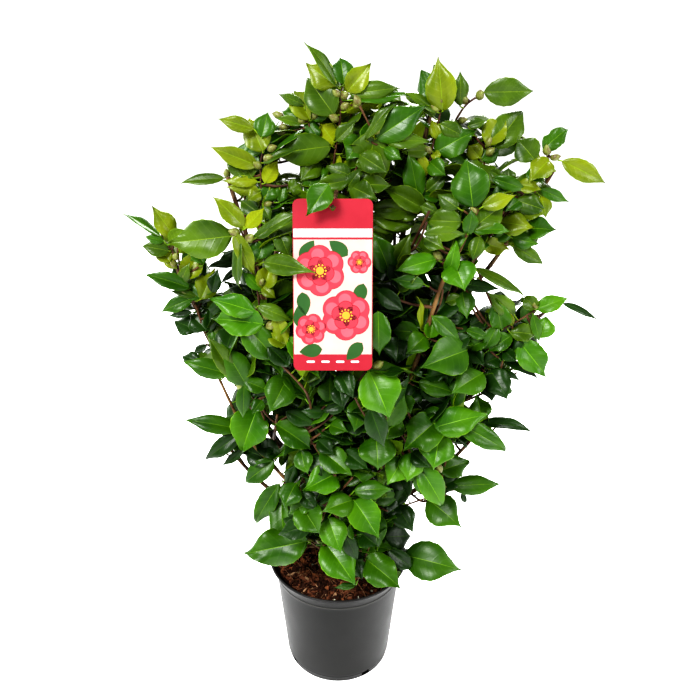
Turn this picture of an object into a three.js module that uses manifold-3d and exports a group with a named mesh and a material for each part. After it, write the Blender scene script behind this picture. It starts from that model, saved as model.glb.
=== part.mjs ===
// Camellia shrub in a round plastic nursery pot, with its hang tag.
// Millimetres, +Z up. The origin is the centre of the pot's flat underside, and the front faces -Y.

import * as THREE from "three";
import { mergeVertices } from "three/addons/utils/BufferGeometryUtils.js";
import Module from "manifold-3d";

const wasm = await Module();
wasm.setup();

// ---- driving dimensions -------------------------------------------------------------------------

const GAP = 0.35; // clearance between pieces that touch
const MASS_GAP = 1.2; // clearance between neighbouring masses of foliage

const POT_HEIGHT = 165;
const POT_RIM_RADIUS = 95;
const POT_WALL_TOP_RADIUS = 88;
const POT_FOOT_RADIUS = 73;
const POT_WALL = 2;
const POT_FLOOR = 3;
const POT_SIDES = 30;
const LIP_HEIGHT = 6;
const COLLAR_BOTTOM = 144; // the moulded line under the rim
const COLLAR_STEP = 1.2;
const FOOT_BAND = 9.5; // the moulded line above the foot
const FOOT_STEP = 0.9;
const NOTCH_WIDTH = 12;
const NOTCH_HEIGHT = 8;
const NOTCH_REACH = 9;
const NOTCH_BEARINGS = [-58, 32, 122, 212]; // degrees from the front, towards +X
const POT_EDGE = 0.8; // slope of the small steps in the wall
const FOOT_CHAMFER = 1.5;
const LIP_ROUND = 3;
const POT_COLOUR = 0x3b3b3a;

const BARK_TOP = 157; // the flat middle of the potting bark, where the stem stands
const BARK_EDGE = 153;
const BARK_FLAT_RADIUS = 32;
const BARK_COLOUR = 0x5a3320;

const STEM_RADIUS = 10;
const STEM_FLARE = 11;
const STEM_TOP = 214;
const STEM_LEAN = 3;
const STEM_TAPER = 0.15; // share of the radius lost by the top
const STEM_BEND = 20; // straight run at each end
const STEM_COLOUR = 0x6b5442;

const TAG_WIDTH = 75;
const TAG_LENGTH = 161;
const TAG_THICKNESS = 0.9;
const TAG_CORNER = 6;
const TAG_HOLE_RADIUS = 3.2;
const TAG_HOLE_INSET = 8;
const TAG_CENTRE = new THREE.Vector3(-5, -152, 602);
const TAG_TILT = 17; // degrees that the face looks upwards
const TAG_ROOM = 3; // free space kept round the tag
const TAG_COLOUR = 0xc8202c;

const LIMB_SIDES = 6;
const LIMB_STEPS = 7;

// The two bends of a bough: how far outwards, how much more of it the bow adds, and how far up.
const LOW_BEND = { reach: 0.2, spread: 0.3, rise: 0.3 };
const HIGH_BEND = { reach: 0.45, spread: 0.55, rise: 0.62 };

// Masses of foliage: name, centre x, y, z, half width x, y, z, and how far the longest shoot
// stands out of the mass, with its bearing (degrees from the front, towards +X) and its rise.
const MASSES = [
  ["top_centre", 0, 10, 762, 52, 44, 46, 8, -50, 60],
  ["top_left", -73, 20, 716, 48, 44, 38, 14, -80, 30],
  ["upper_left", -120, -10, 680, 44, 45, 44, 12, -90, -10],
  ["left_arm", -188, -20, 598, 44, 45, 48, 14, -95, 20],
  ["left_elbow", -158, -20, 507, 42, 44, 42, 10, -100, 30],
  ["left_middle", -112, -60, 464, 52, 45, 48, 10, -90, -30],
  ["left_lower", -138, -30, 356, 47, 44, 46, 10, -90, -10],
  ["left_skirt", -72, -68, 302, 50, 46, 50, 10, -70, -30],
  ["pot_left", -92, -62, 226, 34, 30, 18, 8, -60, -10],
  ["top_right", 101, 10, 752, 38, 44, 46, 10, 60, 70],
  ["right_top", 172, 20, 734, 38, 44, 40, 12, 90, 40],
  ["right_tip", 240, 12, 684, 44, 40, 34, 16, 95, 10],
  ["right_upper", 172, -32, 636, 58, 48, 46, 12, 80, -20],
  ["right_arm", 236, -10, 520, 52, 40, 34, 14, 90, 20],
  ["right_middle", 188, -30, 452, 52, 48, 46, 8, 90, -20],
  ["right_lower", 170, -20, 362, 54, 44, 42, 10, 90, 0],
  ["right_skirt", 113, -60, 306, 52, 46, 48, 12, 70, -30],
  ["pot_right", 112, -62, 206, 40, 32, 18, 10, 70, -10],
  ["front_skirt", 6, -92, 250, 54, 36, 42, 8, 10, -60],
  ["front_right", 52, -130, 462, 50, 42, 48, 8, 20, -20],
  ["front_low", -4, -116, 372, 52, 46, 50, 8, 0, -10],
  ["front_left", -66, -122, 436, 44, 44, 48, 8, -20, -20],
  ["inner_top", 32, 0, 664, 62, 50, 54, 0, 0, 0],
  ["heart", 14, -10, 520, 76, 62, 72, 0, 0, 0],
  ["front_upper_right", 92, -92, 656, 40, 46, 46, 8, 20, 30],
  ["front_upper_left", -86, -120, 604, 40, 42, 48, 10, -30, 10],
  ["right_heart", 108, -84, 554, 44, 50, 54, 8, 30, 0],
  ["back_top", 72, 98, 704, 54, 48, 52, 12, 170, 40],
  ["back_top_left", -66, 104, 648, 54, 48, 54, 14, 200, 20],
  ["back_right", 170, 106, 590, 56, 50, 56, 14, 140, 10],
  ["back_far_right", 192, 92, 462, 52, 48, 52, 14, 130, 0],
  ["back_middle", 44, 142, 526, 66, 50, 62, 14, 180, 0],
  ["back_left", -106, 96, 490, 56, 50, 60, 14, 215, 0],
  ["back_low_left", -78, 92, 356, 58, 50, 58, 12, 210, -10],
  ["back_low_right", 92, 96, 346, 62, 50, 60, 12, 150, -10],
];
const MASS_SIDES = 9;
const MASS_RINGS = 7;
const UNEVENNESS = 0.13;
const SHOOT_SHARPNESS = 6;
const LUMP_WAVES = [[3.1, 1.7], [2.6, -0.9], [3.7, 2.3], [3.3, 1.1]]; // waves over the mass, shift by seed
const CUT_BLOCK = 600; // side of the blocks that part the masses
const MASS_TINTS = [0x2f6b22, 0x3b7a2a, 0x4a8a30, 0x28591d];

// Limbs: name, the limb that carries it, how far along that one it leaves, the mass that it runs
// into, its radius at the foot and at the tip, and how far it bows outwards.
const LIMBS = [
  ["centre_leader", "main_stem", 0.98, "top_centre", 5.4, 2.2, 0.1],
  ["right_main_bough", "main_stem", 0.92, "right_upper", 6.0, 2.4, 0.1],
  ["left_main_bough", "main_stem", 0.9, "left_arm", 5.0, 2.2, 0.55],
  ["right_leader", "main_stem", 0.8, "top_right", 4.8, 2.2, 0.25],
  ["left_leader", "main_stem", 0.8, "upper_left", 4.8, 2.2, 0.3],
  ["back_right_bough", "main_stem", 0.86, "back_right", 4.8, 2.4, 0.5],
  ["back_left_bough", "main_stem", 0.84, "back_top_left", 4.8, 2.4, 0.45],
  ["front_bough", "main_stem", 0.7, "front_right", 3.6, 2.0, 0.6],
  ["right_low_bough", "main_stem", 0.62, "right_lower", 3.6, 2.0, 0.6],
  ["left_low_bough", "main_stem", 0.6, "left_lower", 3.6, 2.0, 0.6],
  ["front_low_bough", "main_stem", 0.5, "front_low", 3.2, 1.9, 0.7],
  ["right_foot_shoot", "main_stem", 0.45, "pot_right", 2.6, 1.8, 0.5],
  ["left_foot_shoot", "main_stem", 0.42, "pot_left", 2.6, 1.8, 0.5],
  ["right_top_bough", "right_leader", 0.5, "right_top", 3.0, 1.9, 0.4],
  ["right_tip_bough", "right_main_bough", 0.62, "right_tip", 3.0, 1.9, 0.5],
  ["right_arm_bough", "right_main_bough", 0.5, "right_arm", 3.2, 2.0, 0.6],
  ["right_middle_bough", "right_main_bough", 0.3, "right_middle", 3.2, 2.0, 0.6],
  ["top_left_bough", "left_leader", 0.6, "top_left", 3.2, 2.0, 0.3],
  ["left_elbow_bough", "left_main_bough", 0.5, "left_elbow", 3.0, 1.9, 0.5],
  ["left_middle_bough", "left_main_bough", 0.3, "left_middle", 3.0, 1.9, 0.6],
];

// The shoot that carries the tag: where it leaves its carrier, its radii, the share of the way
// at its first bend, its straight run behind the tag's hole and how far it stands out in front.
const TAG_SHOOT = {
  name: "tag_shoot",
  carrier: "centre_leader",
  leaves: 0.84,
  foot: 2.4,
  tip: 1.8,
  bend: 0.3,
  run: 40,
  past: 6,
};

// ---- solids and geometries ----------------------------------------------------------------------

function toSolid(geometry) {
  const bare = geometry.index ? geometry.toNonIndexed() : geometry.clone();
  bare.deleteAttribute("normal");
  bare.deleteAttribute("uv");
  const merged = mergeVertices(bare, 1e-3);
  const mesh = new wasm.Mesh({
    numProp: 3,
    vertProperties: Float32Array.from(merged.attributes.position.array),
    triVerts: Uint32Array.from(merged.index.array),
  });
  return new wasm.Manifold(mesh);
}

function toGeometry(solid) {
  const mesh = solid.getMesh();
  const geometry = new THREE.BufferGeometry();
  geometry.setAttribute("position", new THREE.BufferAttribute(mesh.vertProperties, 3));
  geometry.setIndex(new THREE.BufferAttribute(mesh.triVerts, 1));
  geometry.computeVertexNormals();
  return geometry;
}

function mesh(name, geometry, color, roughness) {
  const material = new THREE.MeshStandardMaterial({ color, roughness, metalness: 0 });
  const object = new THREE.Mesh(geometry, material);
  object.name = name;
  return object;
}

// A unit vector at a bearing from the front, towards +X, and a rise above the level.
function heading(bearing, rise) {
  const turn = THREE.MathUtils.degToRad(bearing);
  const lift = THREE.MathUtils.degToRad(rise);
  return new THREE.Vector3(
    Math.sin(turn) * Math.cos(lift),
    -Math.cos(turn) * Math.cos(lift),
    Math.sin(lift),
  );
}

// A lathe profile of [radius, height] pairs, turned about +Z.
function turned(profile, sides) {
  const points = profile.map(([radius, height]) => new THREE.Vector2(radius, height));
  return new THREE.LatheGeometry(points, sides).rotateX(Math.PI / 2);
}

// ---- pot and potting bark -----------------------------------------------------------------------

// The outer wall's radius at a height: it widens evenly from the foot to the top.
function wallRadius(height) {
  const share = height / POT_HEIGHT;
  return THREE.MathUtils.lerp(POT_FOOT_RADIUS, POT_WALL_TOP_RADIUS, share);
}

function potBody() {
  const lipBottom = POT_HEIGHT - LIP_HEIGHT;
  const mouth = wallRadius(POT_HEIGHT) - POT_WALL;
  const lip = [0, 45, 90].map((angle) => {
    const turn = THREE.MathUtils.degToRad(angle);
    const x = POT_RIM_RADIUS - LIP_ROUND + LIP_ROUND * Math.cos(turn);
    return [x, POT_HEIGHT - LIP_ROUND + LIP_ROUND * Math.sin(turn)];
  });
  const outline = [
    [0, 0],
    [POT_FOOT_RADIUS - FOOT_STEP - FOOT_CHAMFER, 0],
    [POT_FOOT_RADIUS - FOOT_STEP, FOOT_CHAMFER],
    [wallRadius(FOOT_BAND) - FOOT_STEP, FOOT_BAND],
    [wallRadius(FOOT_BAND), FOOT_BAND + POT_EDGE],
    [wallRadius(COLLAR_BOTTOM), COLLAR_BOTTOM],
    [wallRadius(COLLAR_BOTTOM) + COLLAR_STEP, COLLAR_BOTTOM + POT_EDGE],
    [wallRadius(lipBottom) + COLLAR_STEP, lipBottom],
    [POT_RIM_RADIUS - POT_EDGE, lipBottom + POT_EDGE],
    ...lip,
    [mouth + 2 * POT_EDGE, POT_HEIGHT],
    [mouth, POT_HEIGHT - 2 * POT_EDGE],
    [wallRadius(POT_FLOOR) - POT_WALL, POT_FLOOR],
    [0, POT_FLOOR],
  ];
  let pot = toSolid(turned(outline, POT_SIDES));
  for (const bearing of NOTCH_BEARINGS) {
    const notch = new THREE.BoxGeometry(NOTCH_WIDTH, NOTCH_REACH, 2 * NOTCH_HEIGHT);
    notch.translate(0, -POT_FOOT_RADIUS, 0);
    notch.rotateZ(THREE.MathUtils.degToRad(bearing));
    pot = pot.subtract(toSolid(notch));
  }
  return toGeometry(pot);
}

function pottingBark() {
  const inner = (height) => wallRadius(height) - POT_WALL - GAP;
  const bottom = POT_FLOOR + GAP;
  return turned([
    [0, bottom],
    [inner(bottom), bottom],
    [inner(BARK_EDGE), BARK_EDGE],
    [BARK_FLAT_RADIUS, BARK_TOP],
    [0, BARK_TOP],
  ], POT_SIDES);
}

// ---- stems and boughs ---------------------------------------------------------------------------

// A limb of round section along a curve: a closed cylinder whose rings are moved onto the curve.
function limb(curve, radiusAt) {
  const geometry = new THREE.CylinderGeometry(1, 1, 1, LIMB_SIDES, LIMB_STEPS);
  const frames = curve.computeFrenetFrames(LIMB_STEPS, false);
  const places = geometry.attributes.position;
  for (let i = 0; i < places.count; i += 1) {
    const step = Math.round((places.getY(i) + 0.5) * LIMB_STEPS);
    const radius = radiusAt(step / LIMB_STEPS);
    const place = curve.getPointAt(step / LIMB_STEPS);
    place.addScaledVector(frames.normals[step], places.getX(i) * radius);
    place.addScaledVector(frames.binormals[step], -places.getZ(i) * radius);
    places.setXYZ(i, place.x, place.y, place.z);
  }
  return toSolid(geometry);
}

const stemCurve = new THREE.CubicBezierCurve3(
  new THREE.Vector3(0, 0, BARK_TOP + GAP),
  new THREE.Vector3(0, 0, BARK_TOP + STEM_BEND),
  new THREE.Vector3(STEM_LEAN, 0, STEM_TOP - STEM_BEND),
  new THREE.Vector3(STEM_LEAN, 0, STEM_TOP),
);

function stemRadius(share) {
  return STEM_RADIUS * (1 - STEM_TAPER * share) + STEM_FLARE * (1 - share) ** 5;
}

// A bough leaves its carrier, spreads while it is low and then turns up to its end.
function boughCurve(start, end, bow) {
  const across = end.clone().sub(start).setZ(0);
  const bends = [LOW_BEND, HIGH_BEND].map(({ reach, spread, rise }) => {
    const bend = start.clone().addScaledVector(across, reach + bow * spread);
    return bend.setZ(THREE.MathUtils.lerp(start.z, end.z, rise));
  });
  return new THREE.CubicBezierCurve3(start, ...bends, end);
}

// The piece of a cut limb that still holds the point where it starts.
function pieceAt(solid, point) {
  let best = null;
  let least = Infinity;
  for (const part of solid.decompose()) {
    const { min, max } = part.boundingBox();
    const box = new THREE.Box3(new THREE.Vector3(...min), new THREE.Vector3(...max));
    const distance = box.distanceToPoint(point);
    if (distance < least) {
      least = distance;
      best = part;
    }
  }
  return best;
}

// ---- hang tag -----------------------------------------------------------------------------------

function tagPlate(width, length, thickness, holeRadius) {
  const x = width / 2 - TAG_CORNER;
  const y = length / 2 - TAG_CORNER;
  const outline = new THREE.Shape();
  outline.absarc(x, -y, TAG_CORNER, -Math.PI / 2, 0);
  outline.absarc(x, y, TAG_CORNER, 0, Math.PI / 2);
  outline.absarc(-x, y, TAG_CORNER, Math.PI / 2, Math.PI);
  outline.absarc(-x, -y, TAG_CORNER, Math.PI, Math.PI * 1.5);
  if (holeRadius > 0) {
    const hole = new THREE.Path();
    hole.absarc(0, length / 2 - TAG_HOLE_INSET, holeRadius, 0, Math.PI * 2, true);
    outline.holes.push(hole);
  }
  const options = { depth: thickness, bevelEnabled: false, curveSegments: 4 };
  const plate = new THREE.ExtrudeGeometry(outline, options);
  plate.translate(0, 0, -thickness / 2);
  plate.rotateX(THREE.MathUtils.degToRad(90 - TAG_TILT));
  return plate.translate(TAG_CENTRE.x, TAG_CENTRE.y, TAG_CENTRE.z);
}

// ---- masses of foliage --------------------------------------------------------------------------

function lumps(p, seed) {
  const [a, b, c, d] = LUMP_WAVES.map(([wave, shift], i) => {
    return wave * [p.x, p.y, p.z, p.x][i] + shift * seed;
  });
  return Math.sin(a) * Math.cos(b) + Math.sin(c) * Math.cos(d);
}

// An ellipsoid with lumps and hollows of its own, and one shoot that stands out.
function massSolid([, x, y, z, rx, ry, rz, reach, bearing, rise], seed, room = 0) {
  const geometry = new THREE.SphereGeometry(1, MASS_SIDES, MASS_RINGS).rotateX(seed).rotateZ(2 * seed);
  const places = geometry.attributes.position;
  const shoot = heading(bearing, rise);
  const p = new THREE.Vector3();
  for (let i = 0; i < places.count; i += 1) {
    p.fromBufferAttribute(places, i).normalize();
    const towards = Math.max(0, p.dot(shoot)) ** SHOOT_SHARPNESS;
    p.multiplyScalar(1 + UNEVENNESS * lumps(p, seed));
    p.set(p.x * (rx + room), p.y * (ry + room), p.z * (rz + room));
    p.addScaledVector(shoot, reach * towards);
    places.setXYZ(i, p.x + x, p.y + y, p.z + z);
  }
  return toSolid(geometry);
}

// A large block whose near face is the plane through a point, on the far side of it.
function blockBeyond(point, direction) {
  const block = new THREE.BoxGeometry(CUT_BLOCK, CUT_BLOCK, CUT_BLOCK).translate(0, 0, CUT_BLOCK / 2);
  const turn = new THREE.Quaternion();
  turn.setFromUnitVectors(new THREE.Vector3(0, 0, 1), direction);
  block.applyQuaternion(turn);
  return toSolid(block.translate(point.x, point.y, point.z));
}

// Each mass stops at the plane halfway to its neighbour, shifted towards the smaller of the two.
function cutApart(rows, solids) {
  return solids.map((solid, i) => {
    const here = new THREE.Vector3(...rows[i].slice(1, 4));
    const size = Math.cbrt(rows[i][4] * rows[i][5] * rows[i][6]);
    let cut = solid;
    rows.forEach((row, j) => {
      const there = new THREE.Vector3(...row.slice(1, 4));
      const distance = here.distanceTo(there);
      if (j === i || solid.intersect(solids[j]).isEmpty()) {
        return;
      }
      const other = Math.cbrt(row[4] * row[5] * row[6]);
      const share = (distance ** 2 + size ** 2 - other ** 2) / (2 * distance ** 2);
      const direction = there.clone().sub(here).divideScalar(distance);
      const point = here.clone().addScaledVector(direction, share * distance - MASS_GAP / 2);
      cut = cut.subtract(blockBeyond(point, direction));
    });
    return cut;
  });
}

// ---- the shrub ----------------------------------------------------------------------------------

const shrub = new THREE.Group();
shrub.add(mesh("pot", potBody(), POT_COLOUR, 0.5));
shrub.add(mesh("potting_bark", pottingBark(), BARK_COLOUR, 0.9));

const tag = tagPlate(TAG_WIDTH, TAG_LENGTH, TAG_THICKNESS, TAG_HOLE_RADIUS);
shrub.add(mesh("hang_tag", tag, TAG_COLOUR, 0.4));
const roomAcross = 2 * TAG_ROOM;
const tagSpace = toSolid(tagPlate(TAG_WIDTH + roomAcross, TAG_LENGTH + roomAcross, roomAcross, 0));

const massNames = MASSES.map((row) => row[0]);
const wholeMasses = MASSES.map((row, i) => massSolid(row, i));
const masses = cutApart(MASSES, wholeMasses).map((solid) => solid.subtract(tagSpace));

// Each limb is cut where an earlier one is in its way, and ends just short of the mass it enters.
const limbs = { main_stem: { curve: stemCurve, solid: limb(stemCurve, stemRadius) } };
const spaces = [limb(stemCurve, (share) => stemRadius(share) + GAP)];

function addLimb(name, curve, foot, tip, entered) {
  const start = curve.getPointAt(0);
  const radiusAt = (share) => THREE.MathUtils.lerp(foot, tip, share);
  let solid = limb(curve, radiusAt);
  let space = limb(curve, (share) => radiusAt(share) + GAP);
  for (const other of spaces) {
    solid = solid.subtract(other);
  }
  if (entered) {
    solid = solid.subtract(entered);
    space = pieceAt(space.subtract(entered), start);
  }
  limbs[name] = { curve, solid: pieceAt(solid, start) };
  spaces.push(space);
}

for (const [name, carrier, leaves, target, foot, tip, bow] of LIMBS) {
  const number = massNames.indexOf(target);
  const start = limbs[carrier].curve.getPointAt(leaves);
  const end = new THREE.Vector3(...MASSES[number].slice(1, 4));
  const entered = massSolid(MASSES[number], number, 2 * GAP);
  addLimb(name, boughCurve(start, end, bow), foot, tip, entered);
}

// The shoot that the tag hangs on runs out through the tag's hole.
const tagNormal = heading(0, TAG_TILT);
const tagHole = heading(180, 90 - TAG_TILT)
  .multiplyScalar(TAG_LENGTH / 2 - TAG_HOLE_INSET)
  .add(TAG_CENTRE);
const tagShootStart = limbs[TAG_SHOOT.carrier].curve.getPointAt(TAG_SHOOT.leaves);
const tagShootCurve = new THREE.CubicBezierCurve3(
  tagShootStart,
  tagShootStart.clone().lerp(tagHole, TAG_SHOOT.bend),
  tagHole.clone().addScaledVector(tagNormal, -TAG_SHOOT.run),
  tagHole.clone().addScaledVector(tagNormal, TAG_SHOOT.past),
);
addLimb(TAG_SHOOT.name, tagShootCurve, TAG_SHOOT.foot, TAG_SHOOT.tip, null);

for (const [name, { solid }] of Object.entries(limbs)) {
  shrub.add(mesh(name, toGeometry(solid), STEM_COLOUR, 0.8));
}

masses.forEach((solid, i) => {
  let cut = solid;
  for (const space of spaces) {
    cut = cut.subtract(space);
  }
  const tint = MASS_TINTS[i % MASS_TINTS.length];
  shrub.add(mesh(`${massNames[i]}_foliage`, toGeometry(cut), tint, 0.6));
});

export default shrub;
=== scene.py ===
import math

import bpy
import numpy as np
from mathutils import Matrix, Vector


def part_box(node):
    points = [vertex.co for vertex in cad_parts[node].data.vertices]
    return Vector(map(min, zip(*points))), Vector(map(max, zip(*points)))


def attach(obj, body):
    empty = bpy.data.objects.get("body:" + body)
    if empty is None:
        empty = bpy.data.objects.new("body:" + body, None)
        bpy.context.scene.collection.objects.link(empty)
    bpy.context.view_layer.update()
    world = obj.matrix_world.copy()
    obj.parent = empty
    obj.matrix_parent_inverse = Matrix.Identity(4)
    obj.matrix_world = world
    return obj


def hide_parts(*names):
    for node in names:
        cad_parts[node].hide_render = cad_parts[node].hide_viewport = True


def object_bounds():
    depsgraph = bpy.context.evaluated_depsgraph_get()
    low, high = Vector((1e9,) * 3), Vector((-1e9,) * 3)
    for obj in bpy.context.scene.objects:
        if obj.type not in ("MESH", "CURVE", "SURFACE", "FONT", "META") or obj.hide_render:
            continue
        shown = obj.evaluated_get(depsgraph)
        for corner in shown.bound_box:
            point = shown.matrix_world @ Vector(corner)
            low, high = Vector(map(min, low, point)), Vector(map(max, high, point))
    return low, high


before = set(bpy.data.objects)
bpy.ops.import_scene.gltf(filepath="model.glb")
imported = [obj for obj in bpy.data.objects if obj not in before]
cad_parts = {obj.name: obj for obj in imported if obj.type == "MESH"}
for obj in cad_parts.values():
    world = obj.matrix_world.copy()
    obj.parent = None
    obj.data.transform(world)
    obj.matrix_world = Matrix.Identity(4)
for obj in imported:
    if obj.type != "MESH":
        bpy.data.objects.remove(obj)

cad_low, cad_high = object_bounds()
rng = np.random.default_rng(20)

# ---- sizes and places, in metres

UP = np.array([0.0, 0.0, 1.0])
CORNER_CUTS = 3
GOLDEN_TURN = math.radians(137.5)

# The view's width in steps, and the steps across one cell of the two grids laid over it.
VIEW_SIZE = 700
COVER_STEP = 4
MASK_STEP = 2

# Camera: it looks along +Y and down by the pitch.
CAMERA_PLACE = (0.0, -0.768, 0.799)
CAMERA_PITCH = 23.1
CAMERA_LENS = 35.2
CAMERA_SHIFT = 0.017
SENSOR_WIDTH = 36.0

# Studio: the world's light, half the floor's side, and each lamp's place, size and power.
ROOM_LIGHT = 0.44
FLOOR_REACH = 120.0
LAMP_AIM = (0.0, 0.0, 0.45)
LAMPS = {
    "key_light": ((-0.9, -1.5, 1.9), (0.7, 0.7), 66),
    "fill_light": ((1.5, -0.9, 1.3), (0.6, 1.0), 24),
    "back_light": ((0.3, 1.6, 1.9), (1.4, 1.0), 80),
    "side_light": ((-1.7, 0.5, 1.1), (0.8, 0.9), 24),
}

# Pot
POT_HEIGHT = 0.165
POT_FOOT = 0.073
POT_WALL_TOP = 0.088
POT_RIM = 0.095
POT_WALL = 0.002
POT_SIDES = 128
COLLAR_BOTTOM = 0.144
FOOT_BAND = 0.0095
FOOT_ROUND = 0.0022
RIDGE_ROUND = 0.0004
BEAD_ROUND = 0.0008
LIP_ROUND = 0.0016
LIP_DROP = 0.0036
FLARE_RISE = 0.0024
NOTCH_SIZE = (0.0115, 0.009, 0.0092)
NOTCH_RISE = 0.0058
NOTCH_BEARINGS = (-58, 32, 122, 212)

# Potting bark
BARK_LEVEL = 0.151
BARK_RADIUS = 0.0845
BARK_DEPTH = 0.02
BARK_RINGS = 26
BARK_SIDES = 72

# Hang tag
TAG_CENTRE = np.array([-0.005, -0.152, 0.602])
TAG_WIDTH = 0.075
TAG_LENGTH = 0.161
TAG_THICKNESS = 0.0009
TAG_CORNER = 0.006
TAG_HOLE = 0.0032
TAG_HOLE_INSET = 0.008
TAG_TILT = math.radians(17)
TAG_ROOM = 0.008
TAG_INKS = {
    "tag_red": ((132, 30, 42), (144, 40, 52)),
    "tag_white": ((188, 182, 180), (178, 172, 170)),
    "tag_pink": ((152, 44, 58), (166, 62, 72)),
    "tag_leaf": ((34, 66, 32), (52, 86, 42)),
    "tag_yellow": ((182, 146, 56), (164, 120, 40)),
    "tag_rose": ((122, 24, 36), (134, 32, 46)),
    "tag_blush": ((168, 72, 84), (178, 90, 98)),
    "tag_cream": ((182, 156, 150), (174, 140, 134)),
}

# Print on the tag, on its own plane: place and turn of each leaf, place and size of each blossom.
TAG_LEAVES = [
    (-0.030, 0.032, -0.6), (0.014, 0.036, 0.9), (0.029, 0.010, 2.8), (-0.029, 0.002, 3.3),
    (0.028, -0.046, 2.4), (-0.010, -0.052, 1.7), (-0.030, -0.032, 0.1),
]
TAG_BLOSSOMS = [
    (-0.012, 0.014, 0.0240), (0.0125, -0.028, 0.0238), (-0.0205, -0.041, 0.0150), (0.025, 0.022, 0.0112),
]

# Stem, and the relief of the bark on it and on the limbs.
STEM_FOOT = 0.154
STEM_TOP = 0.214
STEM_RADIUS = 0.010
STEM_FLARE = 0.011
STEM_LEAN = 0.003
STEM_SIDES = 20
LIMB_SIDES = 12
LIMB_FLARE = 0.35
RIDGE_RELIEF = 0.035
BARK_RELIEF = 0.025
SCAR_GAP = 0.024
SCAR_RELIEF = 0.13

# Limbs: carrier, share along it, end, radius at foot and tip, bow.
LIMBS = {
    "centre_leader": ("main_stem", 0.98, (0.000, 0.010, 0.762), 0.0054, 0.0022, 0.1),
    "right_main_bough": ("main_stem", 0.92, (0.172, -0.032, 0.636), 0.0060, 0.0024, 0.1),
    "left_main_bough": ("main_stem", 0.90, (-0.188, -0.020, 0.598), 0.0050, 0.0022, 0.55),
    "right_leader": ("main_stem", 0.80, (0.101, 0.010, 0.752), 0.0048, 0.0022, 0.25),
    "left_leader": ("main_stem", 0.80, (-0.120, -0.010, 0.680), 0.0048, 0.0022, 0.3),
    "back_right_bough": ("main_stem", 0.86, (0.170, 0.106, 0.590), 0.0048, 0.0024, 0.5),
    "back_left_bough": ("main_stem", 0.84, (-0.066, 0.104, 0.648), 0.0048, 0.0024, 0.45),
    "front_bough": ("main_stem", 0.70, (0.052, -0.130, 0.462), 0.0036, 0.0020, 0.6),
    "right_low_bough": ("main_stem", 0.62, (0.170, -0.020, 0.362), 0.0036, 0.0020, 0.6),
    "left_low_bough": ("main_stem", 0.60, (-0.138, -0.030, 0.356), 0.0036, 0.0020, 0.6),
    "front_low_bough": ("main_stem", 0.50, (-0.004, -0.116, 0.372), 0.0032, 0.0019, 0.7),
    "right_foot_shoot": ("main_stem", 0.45, (0.112, -0.062, 0.206), 0.0026, 0.0018, 0.5),
    "left_foot_shoot": ("main_stem", 0.42, (-0.092, -0.062, 0.226), 0.0026, 0.0018, 0.5),
    "right_top_bough": ("right_leader", 0.50, (0.172, 0.020, 0.734), 0.0030, 0.0019, 0.4),
    "right_tip_bough": ("right_main_bough", 0.62, (0.240, 0.012, 0.684), 0.0030, 0.0019, 0.5),
    "right_arm_bough": ("right_main_bough", 0.50, (0.236, -0.010, 0.520), 0.0032, 0.0020, 0.6),
    "right_middle_bough": ("right_main_bough", 0.30, (0.188, -0.030, 0.452), 0.0032, 0.0020, 0.6),
    "top_left_bough": ("left_leader", 0.60, (-0.073, 0.020, 0.716), 0.0032, 0.0020, 0.3),
    "left_elbow_bough": ("left_main_bough", 0.50, (-0.158, -0.020, 0.507), 0.0030, 0.0019, 0.5),
    "left_middle_bough": ("left_main_bough", 0.30, (-0.112, -0.060, 0.464), 0.0030, 0.0019, 0.6),
}

# The shoot that the tag hangs on: carrier, share along it, radius at foot and tip, reach past the card.
TAG_SHOOT = ("centre_leader", 0.84, 0.0024, 0.0018, 0.006)

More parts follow.
